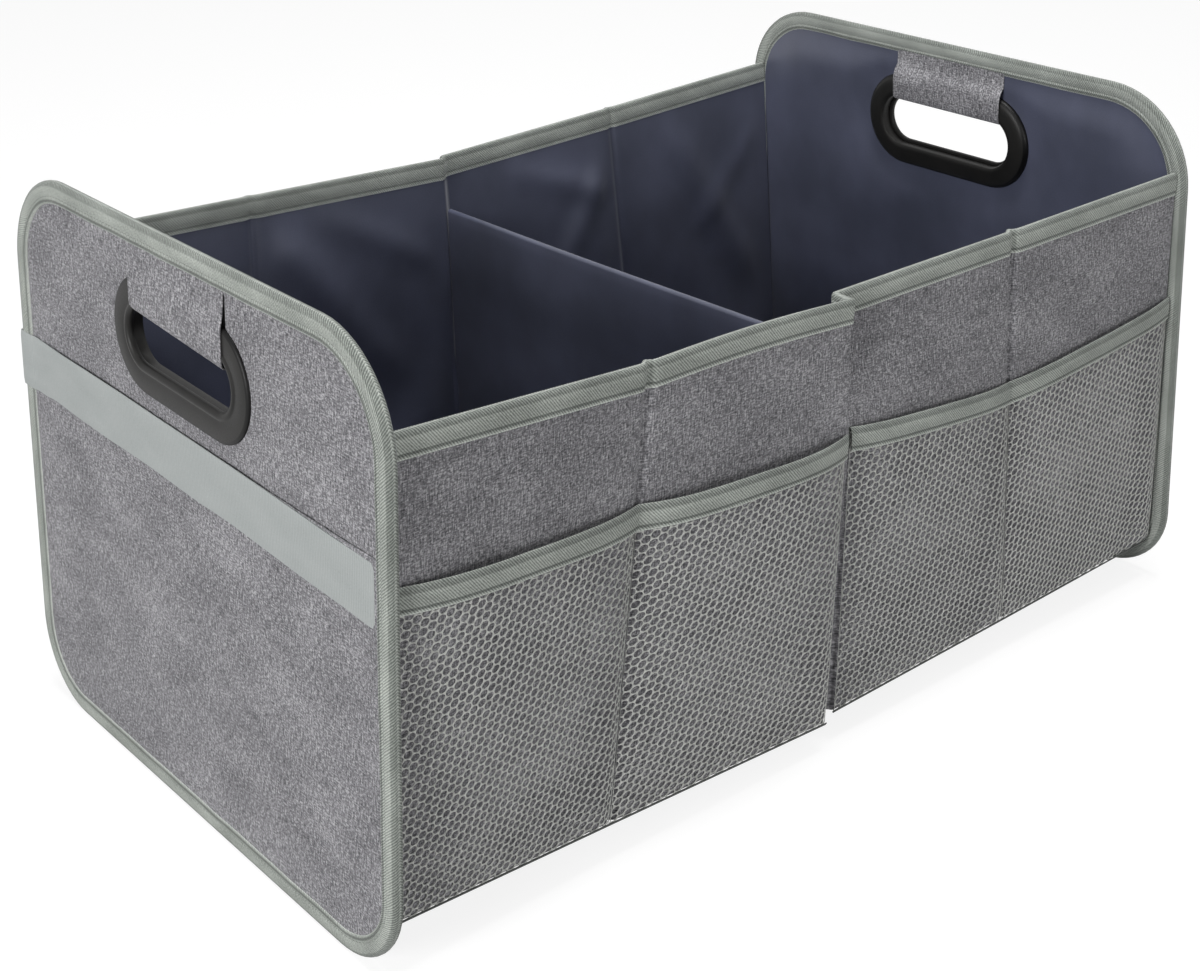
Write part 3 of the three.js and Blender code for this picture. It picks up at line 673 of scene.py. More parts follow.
def tab_path():
    """The handle tab's way: down over the outer frame, through the hole and up inside, as (depth, z)."""
    hole_top = HANDLE_HEIGHT + HOLE_RADIUS
    frame_top = hole_top + HANDLE_RIM
    outside = COVER_DEPTH - FRAME_PROUD - 0.6
    inside = LINING_DEPTH + INNER_FRAME_PROUD + 0.6
    top = PANEL_HEIGHT - BINDING_WIDTH + 1.0
    return [
        (COVER_DEPTH, TAB_ROOT), (COVER_DEPTH - 0.5, frame_top + 8.0), (outside + 1.2, frame_top + 3.0),
        (outside + 0.25, frame_top - 1.0), (outside, frame_top - 4.0), (outside, hole_top + 3.0),
        (outside + 0.3, hole_top + 0.6), (outside + 1.3, hole_top - 0.7), (outside + 3.0, hole_top - 1.1),
        (inside - 3.0, hole_top - 1.1), (inside - 1.3, hole_top - 0.7), (inside - 0.3, hole_top + 0.6),
        (inside, hole_top + 3.0), (inside, frame_top - 4.0), (inside - 0.3, frame_top - 1.0),
        (inside - 1.6, frame_top + 2.5), (LINING_DEPTH + 0.9, frame_top + 6.0), (LINING_DEPTH + 0.6, top),
    ]


# How much of the tab's hang each point of its way has
TAB_LOOSENESS = {4: 0.3, 5: 0.8, 6: 1.0, 7: 1.0, 8: 1.0, 9: 1.0, 10: 1.0, 11: 1.0, 12: 0.8, 13: 0.3}


def end_cover(panel):
    """The end's cover cloth, with the tab that is cut from it and goes over the handle's upper bar."""
    depth_at = cover_depth(panel)
    patches = panel_patches(panel, CLOTH_INSET, TAB_ROOT, panel.tab_edges, depth_at, panel.slit)
    path = tab_path()
    lengths = running_lengths([(d, z, 0) for d, z in path])

    def tab_point(t, k):
        depth, z = path[k]
        y = mix(*panel.tab_edges, t)
        shift = depth_at(y, z) - COVER_DEPTH if k == 0 else 0.0
        hang = TAB_LOOSENESS.get(k, 0.0) * mix(*panel.tab_hang, t)
        return panel.place(y, z - hang, depth + shift), (y, TAB_ROOT - lengths[k])

    patches.append(surface(steps(MIDDLE_COLUMNS), range(len(path)), tab_point))
    piece = join_patches(f"{panel.name}_cover_cloth", *patches, thickness=CLOTH_THICKNESS)
    settle(piece, COVER, "cover_cloth", f"{panel.name}_end_cover", f"{panel.name}_handle_wrap")


def end_board(panel):
    """The stiff board of an end panel, between its cover and its lining, with a hole for the handle."""
    root = HANDLE_HEIGHT + HIDDEN_RADIUS
    middle = (COVER_DEPTH + LINING_DEPTH) / 2
    patches = panel_patches(panel, 2.0, root, (-HOLE_REACH, HOLE_REACH), lambda y, z: middle)
    piece = join_patches(f"{panel.name}_panel_board", *patches, thickness=END_BOARD_THICKNESS)
    settle(piece, BOARD, "stiff_board", f"{panel.name}_end_board")


def end_lining(panel):
    """The panel's lining, loose on its board, so that it lies in shallow waves."""
    def depth_at(y, z):
        wave = 0.5 + 0.5 * ripple(y * 0.8 + z * 0.35, z - y * 0.3, 55.0, 5.0 * panel.side)
        fine = 0.5 + 0.5 * ripple(y + z * 0.5, z, 24.0, 9.0)
        return LINING_DEPTH + edge_room(y, z) * (2.6 * wave + 0.5 * fine)

    root = HANDLE_HEIGHT + HIDDEN_RADIUS
    patches = panel_patches(panel, CLOTH_INSET, root, (-HOLE_REACH, HOLE_REACH), depth_at)
    piece = join_patches(f"{panel.name}_lining_cloth", *patches, thickness=CLOTH_THICKNESS)
    settle(piece, LINING, "lining", f"{panel.name}_end_lining")


def slip_pocket(panel):
    """A flat pocket: cloth up to the band's top, held in the binding and a little loose at the mouth."""
    def point_at(s, t):
        z = mix(CLOTH_INSET, BAND_TOP - 1.0, t ** 1.3)
        wide = half_width(z, CLOTH_INSET)
        y = mix(-wide, wide, s)
        loose = smooth((wide - abs(y)) / 40) * smooth((z - 60) / 150)
        soft = edge_room(y, min(z, 150.0)) * ripple(y, z, 70.0, 2.0 * panel.side)
        return panel.place(y, z, POCKET_DEPTH - 0.5 * loose - 0.4 * soft), (y + 400.0, z)

    patch = surface(steps(70), steps(56), point_at)
    piece = join_patches(f"{panel.name}_slip_pocket_cloth", patch, thickness=CLOTH_THICKNESS)
    settle(piece, COVER, "cover_cloth", f"{panel.name}_slip_pocket")


def band_line(s):
    """The height of the band's upper edge, from its right end to its left one. It was sewn on with a fall."""
    return BAND_TOP + mix(-4.0, 2.0, 1 - (1 - s) ** 2.6)


BAND_OVERHANG = 0.3
BAND_WRAP = 3.2


def pocket_band(panel):
    """A pale band along the pocket's mouth, which wraps round the panel's edge at one end. On the near panel
    it laps over the binding there, and it is caught under the binding at its other end."""
    def band_point(s, t):
        z_line = band_line(s)
        low_line = z_line - BAND_WIDTH + 0.5 * ripple(s * 300, 0, 40.0, 6.0)
        z = mix(low_line, z_line, t)
        y = mix(-half_width(z, 7.0), half_width(z, -BAND_OVERHANG), s)
        over = smooth((y - half_width(z, BINDING_WIDTH + 4)) / 5)
        under = smooth((-half_width(z, BINDING_WIDTH + 5) - y) / 4)
        loose = smooth((half_width(z, 12) - abs(y)) / 40)
        rolled = 0.35 * (smooth((0.12 - t) / 0.12) + smooth((t - 0.9) / 0.1))
        if panel is FAR:
            over = under = 0.0
        depth = BAND_DEPTH - 0.9 * loose * (0.3 + 0.7 * t) - 0.75 * over + 0.75 * under + rolled
        return panel.place(y, z, depth), (y, z)

    def wrap_point(turn, t):
        z = mix(band_line(1.0) - BAND_WIDTH, band_line(1.0), t)
        y = half_width(z, -BAND_OVERHANG - 0.3 * math.sin(turn * math.pi))
        return panel.place(y, z, -0.05 + BAND_WRAP * turn), (y + BAND_WRAP * turn, z)

    band = surface(steps(120), steps(10), band_point)
    wrap = surface(steps(4)[1:], steps(10), wrap_point)
    patch = [[a + b for a, b in zip(*rows)] for rows in zip(band, wrap)]
    piece = join_patches(f"{panel.name}_mouth_band", patch, thickness=BAND_THICKNESS)
    settle(piece, BAND, "pocket_band", f"{panel.name}_pocket_band")


def stadium(grow):
    """Points (y, z) round the handle's hole, grown by a distance."""
    radius = HOLE_RADIUS + grow
    points = []
    for centre, start in ((HOLE_REACH, -math.pi / 2), (-HOLE_REACH, math.pi / 2)):
        for t in steps(28):
            angle = start + math.pi * t
            points.append((centre + radius * math.cos(angle), HANDLE_HEIGHT + radius * math.sin(angle)))
        for t in steps(12)[1:-1]:
            points.append((mix(centre, -centre, t), HANDLE_HEIGHT + radius * math.sin(start + math.pi)))
    points.append(points[0])
    return points


# Sections of the handle's two frames, as (distance from the hole, height over the cloth)
OUTER_FRAME_SECTION = [
    (14.9, 0.35), (15.0, -0.3), (14.8, -1.0), (14.1, -1.5), (13.0, -1.75), (9.0, -1.85), (5.0, -1.9),
    (4.2, -1.7), (3.6, -1.75), (3.0, -2.2), (2.0, -2.3), (1.0, -2.0), (0.3, -1.2), (0.0, -0.2), (0.0, 0.8),
    (0.4, 1.5), (1.8, 1.6), (1.8, 0.35),
]
INNER_FRAME_SECTION = [
    (2.1, -1.9), (2.1, 2.0), (2.1, 3.2), (2.5, 4.1), (3.6, 4.6), (5.0, 4.6), (6.5, 4.4), (9.0, 4.2),
    (11.5, 3.9), (13.4, 3.3), (14.5, 2.3), (15.0, 1.0), (14.9, -0.3), (3.6, -0.3), (3.6, -1.9),
]


def handle_frame(panel, name, section, face, node):
    """A rounded plastic ring swept round the hole."""
    closed = section + [section[0]]
    rings = [stadium(grow) for grow, _ in closed]
    lengths = [running_lengths(ring) for ring in rings]

    def point_at(i, k):
        grow, lift = closed[k]
        return panel.place(*rings[k][i], face + lift), (lengths[k][i], grow)

    patch = surface(range(len(rings[0])), range(len(closed)), point_at)
    piece = join_patches(f"{panel.name}_{name}", patch, closed=True, angle=40.0)
    settle(piece, PLASTIC, "handle_plastic", node)


# Long walls

class Wall:
    """One long wall, as folded paths of (x, inward) points at its top and its low edge. Tops, feet and radii
    are the heights of its top and its foot and the radius of its bottom corner at each of those points."""

    def __init__(self, name, side, plane, cover_top, cover_low, lining_top, lining_low, tops, feet, radii):
        self.name = name
        self.side = side
        self.plane = plane
        self.cover = ([Vector(p) for p in cover_top], [Vector(p) for p in cover_low])
        self.lining = ([Vector(p) for p in lining_top], [Vector(p) for p in lining_low])
        self.tops = tops
        self.feet = feet
        self.radii = radii

    def at(self, values, station):
        i = min(int(station), 4)
        return mix(values[i], values[i + 1], station - i)

    def top_height(self, station):
        height = self.at(self.tops, station)
        if self.side < 0 and 1 < station < 2:
            height += FRONT_TOP_HUMP * math.sin(math.pi * (station - 1))
        return height

    def low_height(self, station):
        return self.at(self.feet, station) + self.at(self.radii, station)


def wall_end(height):
    """How far from the middle a wall's end is at a height, just inside the end panel."""
    return HALF_LENGTH - BINDING_DEPTH - 0.9 - LEAN_SLOPE * height


TOP_END = wall_end(262.0)
LOW_END = wall_end(50.0)

FRONT = Wall(
    "front", -1, 165.0,
    [(-TOP_END, 0), (-124, 2.5), (3.8, -1), (1.5, 8), (124, 2.5), (TOP_END, 0)],
    [(-LOW_END, 0), (-151, 2.5), (-4.5, -1), (5.5, 3.0), (142, 2.5), (LOW_END, 0)],
    [(-TOP_END, 2.0), (-124, 4.6), (-1.0, 1.0), (-0.5, 10.2), (124, 4.6), (TOP_END, 2.0)],
    [(-LOW_END, 3.1), (-151, 8.0), (-5.5, 2.2), (6.5, 6.2), (142, 8.0), (LOW_END, 3.1)],
    [265.0, 255.2, 253.5, 254.6, 257.6, 260.0],
    [25.0, 19.6, 15.2, 16.5, 19.5, 22.0],
    [10.0, 4.5, 4.5, 4.5, 4.5, 10.0],
)
BACK = Wall(
    "back", 1, 162.0,
    [(-TOP_END, 0), (-137, 2.5), (-4, 4), (-3, -1), (122, 2.5), (TOP_END, 0)],
    [(-LOW_END, 0), (-150, 2.5), (-4, 4), (-3, -1), (142, 2.5), (LOW_END, 0)],
    [(-TOP_END, 2.0), (-137, 5.4), (-6, 6.0), (-1, 1.1), (122, 5.4), (TOP_END, 2.0)],
    [(-LOW_END, 3.1), (-150, 8.5), (-7, 7.1), (0, 2.1), (142, 8.5), (LOW_END, 3.1)],
    [262.5, 258.0, 252.5, 252.5, 258.0, 262.5],
    [30.0, 25.5, 21.0, 21.0, 25.5, 30.0],
    [20.0, 8.0, 8.0, 8.0, 8.0, 20.0],
)

# How far from each corner of a path its rounding starts, and the columns of each stretch and each rounding
FOLD_TRIMS = [0, 5.0, 1.8, 1.8, 5.0, 0]
SEGMENT_COLUMNS = [34, 34, 17, 34, 34]
CURVE_COLUMNS = 12


def rounded_path(corners):
    """Points along a folded path, its corners rounded, each with its place counted in corners."""
    points = []
    for i in range(5):
        a, b = corners[i], corners[i + 1]
        span = (b - a).length
        start = min(FOLD_TRIMS[i] / span, 0.45)
        stop = 1 - min(FOLD_TRIMS[i + 1] / span, 0.45)
        for t in steps(SEGMENT_COLUMNS[i]):
            f = mix(start, stop, t)
            points.append((a.lerp(b, f), i + f))
        if i < 4:
            c = corners[i + 2]
            leave = min(FOLD_TRIMS[i + 1] / (c - b).length, 0.45)
            arrive_point = a.lerp(b, stop)
            leave_point = b.lerp(c, leave)
            for t in steps(CURVE_COLUMNS)[1:-1]:
                p = arrive_point * (1 - t) ** 2 + b * (2 * t * (1 - t)) + leave_point * t ** 2
                points.append((p, mix(i + stop, i + 1 + leave, t)))
    return points


def path_normals(points):
    normals = []
    for i in range(len(points)):
        run = points[min(i + 1, len(points) - 1)][0] - points[max(i - 1, 0)][0]
        run.normalize()
        normals.append(Vector((-run.y, run.x)))
    return normals


def tuck_depth(wall, place, t):
    """How deep the front wall's tuck opens: a valley between its two middle stations, closed above the
    pockets, at a share of the wall's height."""
    if wall.side > 0 or not 2 <= place <= 3:
        return 0.0
    return TUCK_OPENING * math.sin(math.pi * (place - 2)) ** 0.8 * smooth((TUCK_TOP - t) / 0.55)


def tuck_forward(wall, place, t):
    """How far the cloth beside the tuck comes forward below the pocket mouths, as (x, inward)."""
    if wall.side > 0 or not 2 < place < 4:
        return Vector((0, 0))
    near = min(place - 2, 4 - place)
    forward = TUCK_FORWARD * clamp(t) * smooth((TUCK_FORWARD_TOP - t) / 0.22) * near
    return Vector((0.8 * forward, -forward))


class WallSkin:
    """A wall's cover or lining path, ready to be asked for points at any height and depth."""

    def __init__(self, wall, paths):
        self.wall = wall
        self.top = rounded_path(paths[0])
        self.low = rounded_path(paths[1])
        self.top_normals = path_normals(self.top)
        self.low_normals = path_normals(self.low)
        self.along = running_lengths([p for p, _ in self.top])
        self.count = len(self.top)
        self.creases = [self.crease(i) for i in range(self.count)]

    def crease(self, i):
        """How deep the sharp valley at a quarter fold goes."""
        depth = 0.0
        for fold in (1, 4):
            at = min(range(self.count), key=lambda k: abs(self.top[k][1] - fold))
            away = self.along[i] - self.along[at] - 1.6
            depth += (FRONT_CREASE if self.wall.side < 0 else BACK_CREASE) * math.exp(-(away / 2.3) ** 2)
        return depth

    def station(self, i):
        return self.top[i][1]

    def point(self, i, height, depth):
        """The point of column i at a height, moved inwards by a depth."""
        top_z = self.wall.top_height(self.top[i][1])
        low_z = self.wall.low_height(self.low[i][1])
        t = (height - low_z) / (top_z - low_z)
        flat = self.low[i][0].lerp(self.top[i][0], t)
        normal = self.low_normals[i].lerp(self.top_normals[i], clamp(t))
        place = self.low[i][1]
        flat = flat + normal * (depth + self.creases[i] + tuck_depth(self.wall, place, t))
        flat += tuck_forward(self.wall, place, t)
        return (flat.x, self.wall.side * (self.wall.plane - flat.y), height)

    def corner(self, i, turn, depth, drop_depth):
        """The point of column i round the bottom corner, at a turn from 0 to a right angle."""
        place = self.low[i][1]
        radius = self.wall.at(self.wall.radii, place)
        low_z = self.wall.low_height(place)
        inset = depth + self.creases[i] + tuck_depth(self.wall, place, 0)
        flat = self.low[i][0] + self.low_normals[i] * inset
        inward = (radius - depth) * (1 - math.cos(turn))
        down = (radius - drop_depth) * math.sin(turn)
        lean = LEAN_SLOPE * down * (smooth(place) - 1 if place < 1 else smooth(place - 4))
        return (flat.x + lean, self.wall.side * (self.wall.plane - flat.y - inward), low_z - down)


FRONT_COVER = WallSkin(FRONT, FRONT.cover)
FRONT_LINING = WallSkin(FRONT, FRONT.lining)
BACK_COVER = WallSkin(BACK, BACK.cover)
BACK_LINING = WallSkin(BACK, BACK.lining)


def wall_cloth(skin, name, material, slot, node, extra_depth, drop_depth, wrinkle):
    """Wall cloth from under the bottom corner up to its top edge."""
    low_z = [skin.wall.low_height(place) for _, place in skin.low]
    top_z = [skin.wall.top_height(place) for _, place in skin.top]

    def corner_point(i, turn):
        angle = turn * math.pi / 2
        return skin.corner(i, angle, extra_depth, drop_depth), (skin.along[i], low_z[i] - angle * 12)

    def wall_point(i, t):
        z = mix(low_z[i], top_z[i] - 0.4, t)
        return skin.point(i, z, extra_depth + wrinkle(skin, i, z, t)), (skin.along[i], z)

    columns = range(skin.count)
    corner = surface(columns, reversed(steps(7)[1:]), corner_point)
    upright = surface(columns, steps(44), wall_point)
    patch = [low + high for low, high in zip(corner, upright)]
    piece = join_patches(name, patch, thickness=CLOTH_THICKNESS)
    settle(piece, material, slot, node)


def fold_room(place):
    """0 at a fold or an end, rising to 1 between them."""
    return smooth(min(place - math.floor(place), math.ceil(place) - place) * 6)


def cover_wrinkle(skin, i, z, t):
    room = fold_room(skin.station(i)) * smooth(t * 6) * smooth((1 - t) * 5)
    return -0.7 * room * (0.5 + 0.5 * ripple(skin.along[i], z, 48.0, 3.0 * skin.wall.side))


def streak(u, v, start, end, width):
    """A shallow soft ridge along a line on the cloth, 1 on the line."""
    line = Vector(end) - Vector(start)
    away = Vector((u, v)) - Vector(start)
    t = away.dot(line) / line.length_squared
    side = abs(away.cross(line)) / line.length / width
    return smooth((t + 0.1) / 0.3) * smooth((1.1 - t) / 0.3) * math.exp(-side * side)


# Long soft folds of the linings: start, end, width and height, on the cloth
LINING_STREAKS = [
    ((135, 240), (215, 130), 12, 3.0), ((160, 246), (250, 190), 9, 2.0), ((262, 120), (190, 60), 18, 2.0),
    ((392, 244), (330, 150), 9, 3.0), ((300, 238), (380, 205), 8, 2.0), ((395, 200), (310, 90), 14, 2.2),
    ((30, 230), (110, 120), 14, 2.0), ((430, 240), (500, 120), 12, 2.5), ((520, 230), (450, 160), 9, 1.5),
]


def lining_wrinkle(skin, i, z, t):
    u = skin.along[i]
    room = fold_room(skin.station(i)) * smooth((1 - t) * 5) * smooth(t * 5)
    depth = 1.3 * (0.5 + 0.5 * ripple(u + 0.6 * z, z - 0.3 * u, 42.0, 8.0 * skin.wall.side))
    for start, end, width, height in LINING_STREAKS:
        depth += height * streak(u, z, start, end, width)
    return room * depth


def wall_tape(wall, cover, lining):
    """Tape folded over a wall's top edge, through the same folds as the cloth."""
    width = WALL_TAPE_WIDTH
    outer = [
        (-width, 0.15), (-width + 0.3, -0.55), (-width + 1.2, -0.7), (-width + 2.3, -0.7),
        (-width + 2.8, -0.4), (-width + 3.3, -0.7), (-5.0, -0.8), (-1.2, -0.75), (-0.2, -0.45),
        (0.45, 0.2),
    ]
    rows, cloth = [], []
    tops = [wall.top_height(cover.top[i][1]) for i in range(cover.count)]
    for rise, depth in outer:
        rows.append([cover.point(i, tops[i] + rise, depth) for i in range(cover.count)])
        cloth.append([(cover.along[i], rise + width) for i in range(cover.count)])
    rows.append([
        tuple((Vector(cover.point(i, tops[i] + 0.7, 0.4)) + Vector(lining.point(i, tops[i] + 0.7, -0.4))) / 2)
        for i in range(cover.count)
    ])
    cloth.append([(cover.along[i], width + 1.6) for i in range(cover.count)])
    for rise, depth in reversed(outer):
        rows.append([lining.point(i, tops[i] + rise, 0.15 - 0.6 * depth) for i in range(cover.count)])
        cloth.append([(cover.along[i], rise + width) for i in range(cover.count)])
    piece = join_patches(f"{wall.name}_top_tape", (rows, cloth), thickness=FLAT_TAPE_THICKNESS)
    settle(piece, TAPE, "binding_tape", f"{wall.name}_wall_tape")


def wall_boards(wall, cover):
    """A stiff board in each quarter, between the cloths and clear of the folds."""
    def point_at(i, t):
        low = wall.low_height(cover.low[i][1]) + 1.0
        high = wall.top_height(cover.station(i)) - 1.5
        return cover.point(i, mix(low, high, t), sum(BOARD_DEPTH) / 2), (cover.along[i], t)

    for quarter in range(4):
        first = quarter if quarter < 2 else quarter + 1
        columns = [i for i in range(cover.count) if first + 0.05 < cover.station(i) < first + 0.95]
        patch = surface(columns, steps(12), point_at)
        thickness = BOARD_DEPTH[1] - BOARD_DEPTH[0]
        piece = join_patches(f"{wall.name}_board_{quarter + 1}", patch, thickness=thickness)
        settle(piece, BOARD, "stiff_board", f"{wall.name}_wall_board_{quarter + 1}")


# Mesh pockets

class MeshPocket:
    """One mesh pocket: the wall segment it is sewn to, the heights of its mouth's two ends and how far it
    stands off the wall."""

    def __init__(self, number, segment, mouth, bulge):
        self.number = number
        self.segment = segment
        self.mouth = mouth
        self.bulge = bulge
        low, top = FRONT.cover[1], FRONT.cover[0]
        self.width = (top[segment + 1] - top[segment]).length
        self.low = (low[segment], low[segment + 1])
        self.top = (top[segment], top[segment + 1])

    def mouth_height(self, across):
        return mix(self.mouth[0], self.mouth[1], across)

    def fullness(self, across):
        return 1 - abs(2 * across - 1) ** 3.5

    def reach(self, across):
        """How far down from the mouth the net goes: a little way round the wall's lower edge."""
        place = self.segment + across
        return self.mouth_height(across) - FRONT.low_height(place) + NET_UNDER * FRONT.at(FRONT.radii, place)

    def point(self, across, down, proud):
        """A point of the net's surface: across from 0 to 1, down from the mouth in millimetres."""
        place = self.segment + across
        low_z = FRONT.low_height(place)
        top_z = FRONT.top_height(place)
        mouth_z = self.mouth_height(across)
        straight = mouth_z - low_z
        low = self.low[0].lerp(self.low[1], across)
        top = self.top[0].lerp(self.top[1], across)
        off = NET_STANDOFF + proud
        if down <= straight:
            z = mouth_z - down
            t = (z - low_z) / (top_z - low_z)
            flat = low.lerp(top, t) + tuck_forward(FRONT, place, t)
            rise = (z - low_z) / straight
            off = mix(NET_HEM_STANDOFF + proud, off, smooth(rise * 8))
            off += self.bulge * self.fullness(across) * rise ** 0.8
            off += 0.5 * self.fullness(across) * rise * ripple(across * self.width, z, 34.0, self.number)
            return Vector((flat.x, -(FRONT.plane - flat.y + off), z))
        radius = FRONT.at(FRONT.radii, place)
        off = NET_HEM_STANDOFF + proud
        turn = (down - straight) / radius
        inward = radius - (radius + off) * math.cos(turn)
        return Vector((low.x, -(FRONT.plane - low.y - inward), low_z - (radius + off) * math.sin(turn)))


POCKETS = [
    MeshPocket(1, 0, (197.0, 189.0), 7.0),
    MeshPocket(2, 1, (189.0, 183.5), 8.0),
    MeshPocket(3, 3, (184.8, 172.8), 4.5),
    MeshPocket(4, 4, (172.8, 186.5), 3.5),
]


def net_cell(across, down):
    """A six-sided cell of the net round its hole: two rings of points with the same count, in millimetres."""
    side = 0.28 * NET_ROW
    peak = NET_ROW - side
    half = NET_PITCH / 2
    corners = [(half, -side), (half, side), (0.0, peak), (-half, side), (-half, -side), (0.0, -peak)]
    rim = []
    for k, (x, y) in enumerate(corners):
        nx, ny = corners[(k + 1) % 6]
        rim += [(x, y), ((x + nx) / 2, (y + ny) / 2)]
    hole = []
    for x, y in rim:
        angle = math.atan2(y / peak, x / half)
        hole.append((NET_HOLE[0] * math.cos(angle), NET_HOLE[1] * math.sin(angle)))
    return [(across + x, down + y) for x, y in rim], [(across + x, down + y) for x, y in hole]


def net_turn(across, down):
    """The knit lies on the skew: its rows climb to the right, and its columns lean."""
    return NET_STRAIGHT * across + NET_LEAN * down, NET_STRAIGHT * down - NET_CLIMB * across


def mesh_net(pocket):
    """Real net: six-sided cells with rounded holes, laid on the pocket's surface and given a thickness."""
    deep = pocket.mouth[0] - NET_FOOT
    vertices, faces = [], []
    places = {}

    def vertex(point):
        a, b = net_turn(*point)
        a = clamp(a, 0.0, pocket.width - NET_SIDE_HEM)
        b = clamp(b, 2.0, pocket.reach(a / pocket.width))
        key = (round(a, 2), round(b, 2))
        if key not in places:
            across = a / pocket.width
            squeeze = across + 0.03 * smooth((across - 0.80) / 0.12) * (1 - smooth((across - 0.92) / 0.08))
            places[key] = len(vertices)
            vertices.append(pocket.point(squeeze, b, 0.0) * MM)
        return places[key]

    rows = int((deep + 0.5 * pocket.width) / NET_ROW) + 4
    columns = int((pocket.width + 0.5 * deep) / NET_PITCH) + 4
    for row in range(-2, rows):
        for column in range(-int(deep / NET_PITCH) - 2, columns):
            centre_a = (column + (row % 2) / 2) * NET_PITCH
            centre_b = row * NET_ROW
            a, b = net_turn(centre_a, centre_b)
            if not (-NET_PITCH < a < pocket.width + NET_PITCH and -NET_ROW < b < deep + NET_ROW):
                continue
            rim, hole = net_cell(centre_a, centre_b)
            for k in range(len(rim)):
                n = (k + 1) % len(rim)
                face = [vertex(rim[k]), vertex(rim[n]), vertex(hole[n]), vertex(hole[k])]
                unique = [v for j, v in enumerate(face) if v not in face[:j]]
                if len(unique) > 2:
                    faces.append(unique)
    piece = mesh_piece(f"net_{pocket.number}", vertices, faces, thickness=NET_THICKNESS, angle=60.0)
    settle(piece, NET, "pocket_mesh", f"mesh_pocket_{pocket.number}")


def pocket_tape(pocket):
    """Tape folded over a pocket's mouth."""
    width = POCKET_TAPE_WIDTH
    section = [
        (width, 0.5), (width - 0.3, 0.95), (width - 1.2, 1.05), (width - 2.3, 1.05), (width - 2.8, 0.75),
        (width - 3.3, 1.05), (6.0, 1.15), (1.2, 1.1), (0.1, 0.8), (-0.5, 0.0), (0.1, -0.8), (1.2, -0.95),
        (width, -0.7),
    ]

    def point_at(s, edge):
        down, proud = edge
        lift = 0.25 * ripple(s * pocket.width, down, 26.0, pocket.number)
        flat = (s * pocket.width + 150.0 * pocket.number, width - down)
        return pocket.point(s, down, proud + lift), flat

    patch = surface(steps(60), section, point_at)
    piece = join_patches(f"mouth_tape_{pocket.number}", patch, thickness=FLAT_TAPE_THICKNESS)
    settle(piece, TAPE, "binding_tape", f"mesh_pocket_tape_{pocket.number}")


def net_hem_shade(pocket):
    """A narrow tape that closes the net's lower edge, under the wall's rounded bottom. Its near-black colour
    is painted shade, the shadow under that bottom.
    """
    def point_at(s, edge):
        past, proud = edge
        return pocket.point(s, pocket.reach(s) + past, proud), (s * pocket.width, past)

    patch = surface(steps(60), [(-1.2, 0.3), (-1.0, 0.7), (0.3, 0.7), (0.7, 0.1)], point_at)
    piece = join_patches(f"net_hem_{pocket.number}", patch, thickness=FLAT_TAPE_THICKNESS)
    settle(piece, PAINTED_SHADE_HEM, "binding_tape")


# Divider, bottom and base boards

divider_low, divider_high = node_box("divider_cover")


def divider():
    """The divider's cloth, folded over its board, with a round top edge."""
    half = DIVIDER_HALF
    foot = divider_low.z + 2.0

    def point_at(s, line):
        aside, up, drop = line
        y = mix(divider_low.y + 0.3, divider_high.y - 0.3, s)
        top = mix(*DIVIDER_TOPS, s) - 0.5 * math.sin(math.pi * s)
        from_ends = smooth(min(s, 1 - s) * 6)
        x = mix(*DIVIDER_ENDS, s) + 0.3 * math.sin(s * 7.0) * from_ends * up
        swell = 0.5 + 0.5 * ripple(y + 0.5 * top * up, top * up, 50.0, 14.0)
        bulge = 1.2 * swell * from_ends * smooth((1 - up) * 7) * smooth(up * 5)
        corner = 8.0 * (1 - min(up * top / 8.0, 1.0))
        y += corner * (1 if s < 0.5 else -1) * abs(2 * s - 1)
        flat = (y, up * top + (600 if aside > 0 else 0))
        return (x + aside + math.copysign(bulge, aside), y, mix(foot, top, up) - drop), flat

    lines = [(-half, up, half) for up in steps(30)]
    for turn in steps(6)[1:-1]:
        angle = turn * math.pi
        lines.append((-half * math.cos(angle), 1.0, half - half * math.sin(angle)))
    lines += [(half, up, half) for up in reversed(steps(30))]
    patch = surface(steps(60), lines, point_at)
    piece = join_patches("divider_cloth", patch, thickness=LOOSE_CLOTH_THICKNESS)
    settle(piece, LINING, "lining", "divider_cover")


def bottom_cloth(name, node, drop_depth, reach_depth, sag, material, slot):
    """The bottom between the two walls' corners, with its sag in the middle."""
    quarter = math.pi / 2
    low = [FRONT_COVER.corner(i, quarter, reach_depth, drop_depth) for i in range(FRONT_COVER.count)]
    high = [BACK_COVER.corner(i, quarter, reach_depth, drop_depth) for i in range(BACK_COVER.count)]

    def point_at(i, t):
        x, y, z = (mix(a, b, t) for a, b in zip(low[i], high[i]))
        drop = sag * math.sin(math.pi * t) * (1 + ripple(x, y, 60.0, 4.0))
        return (x, y, z - drop), (x, y)

    patch = surface(range(FRONT_COVER.count), steps(30), point_at)
    piece = join_patches(name, patch, thickness=LOOSE_CLOTH_THICKNESS)
    settle(piece, material, slot, node)


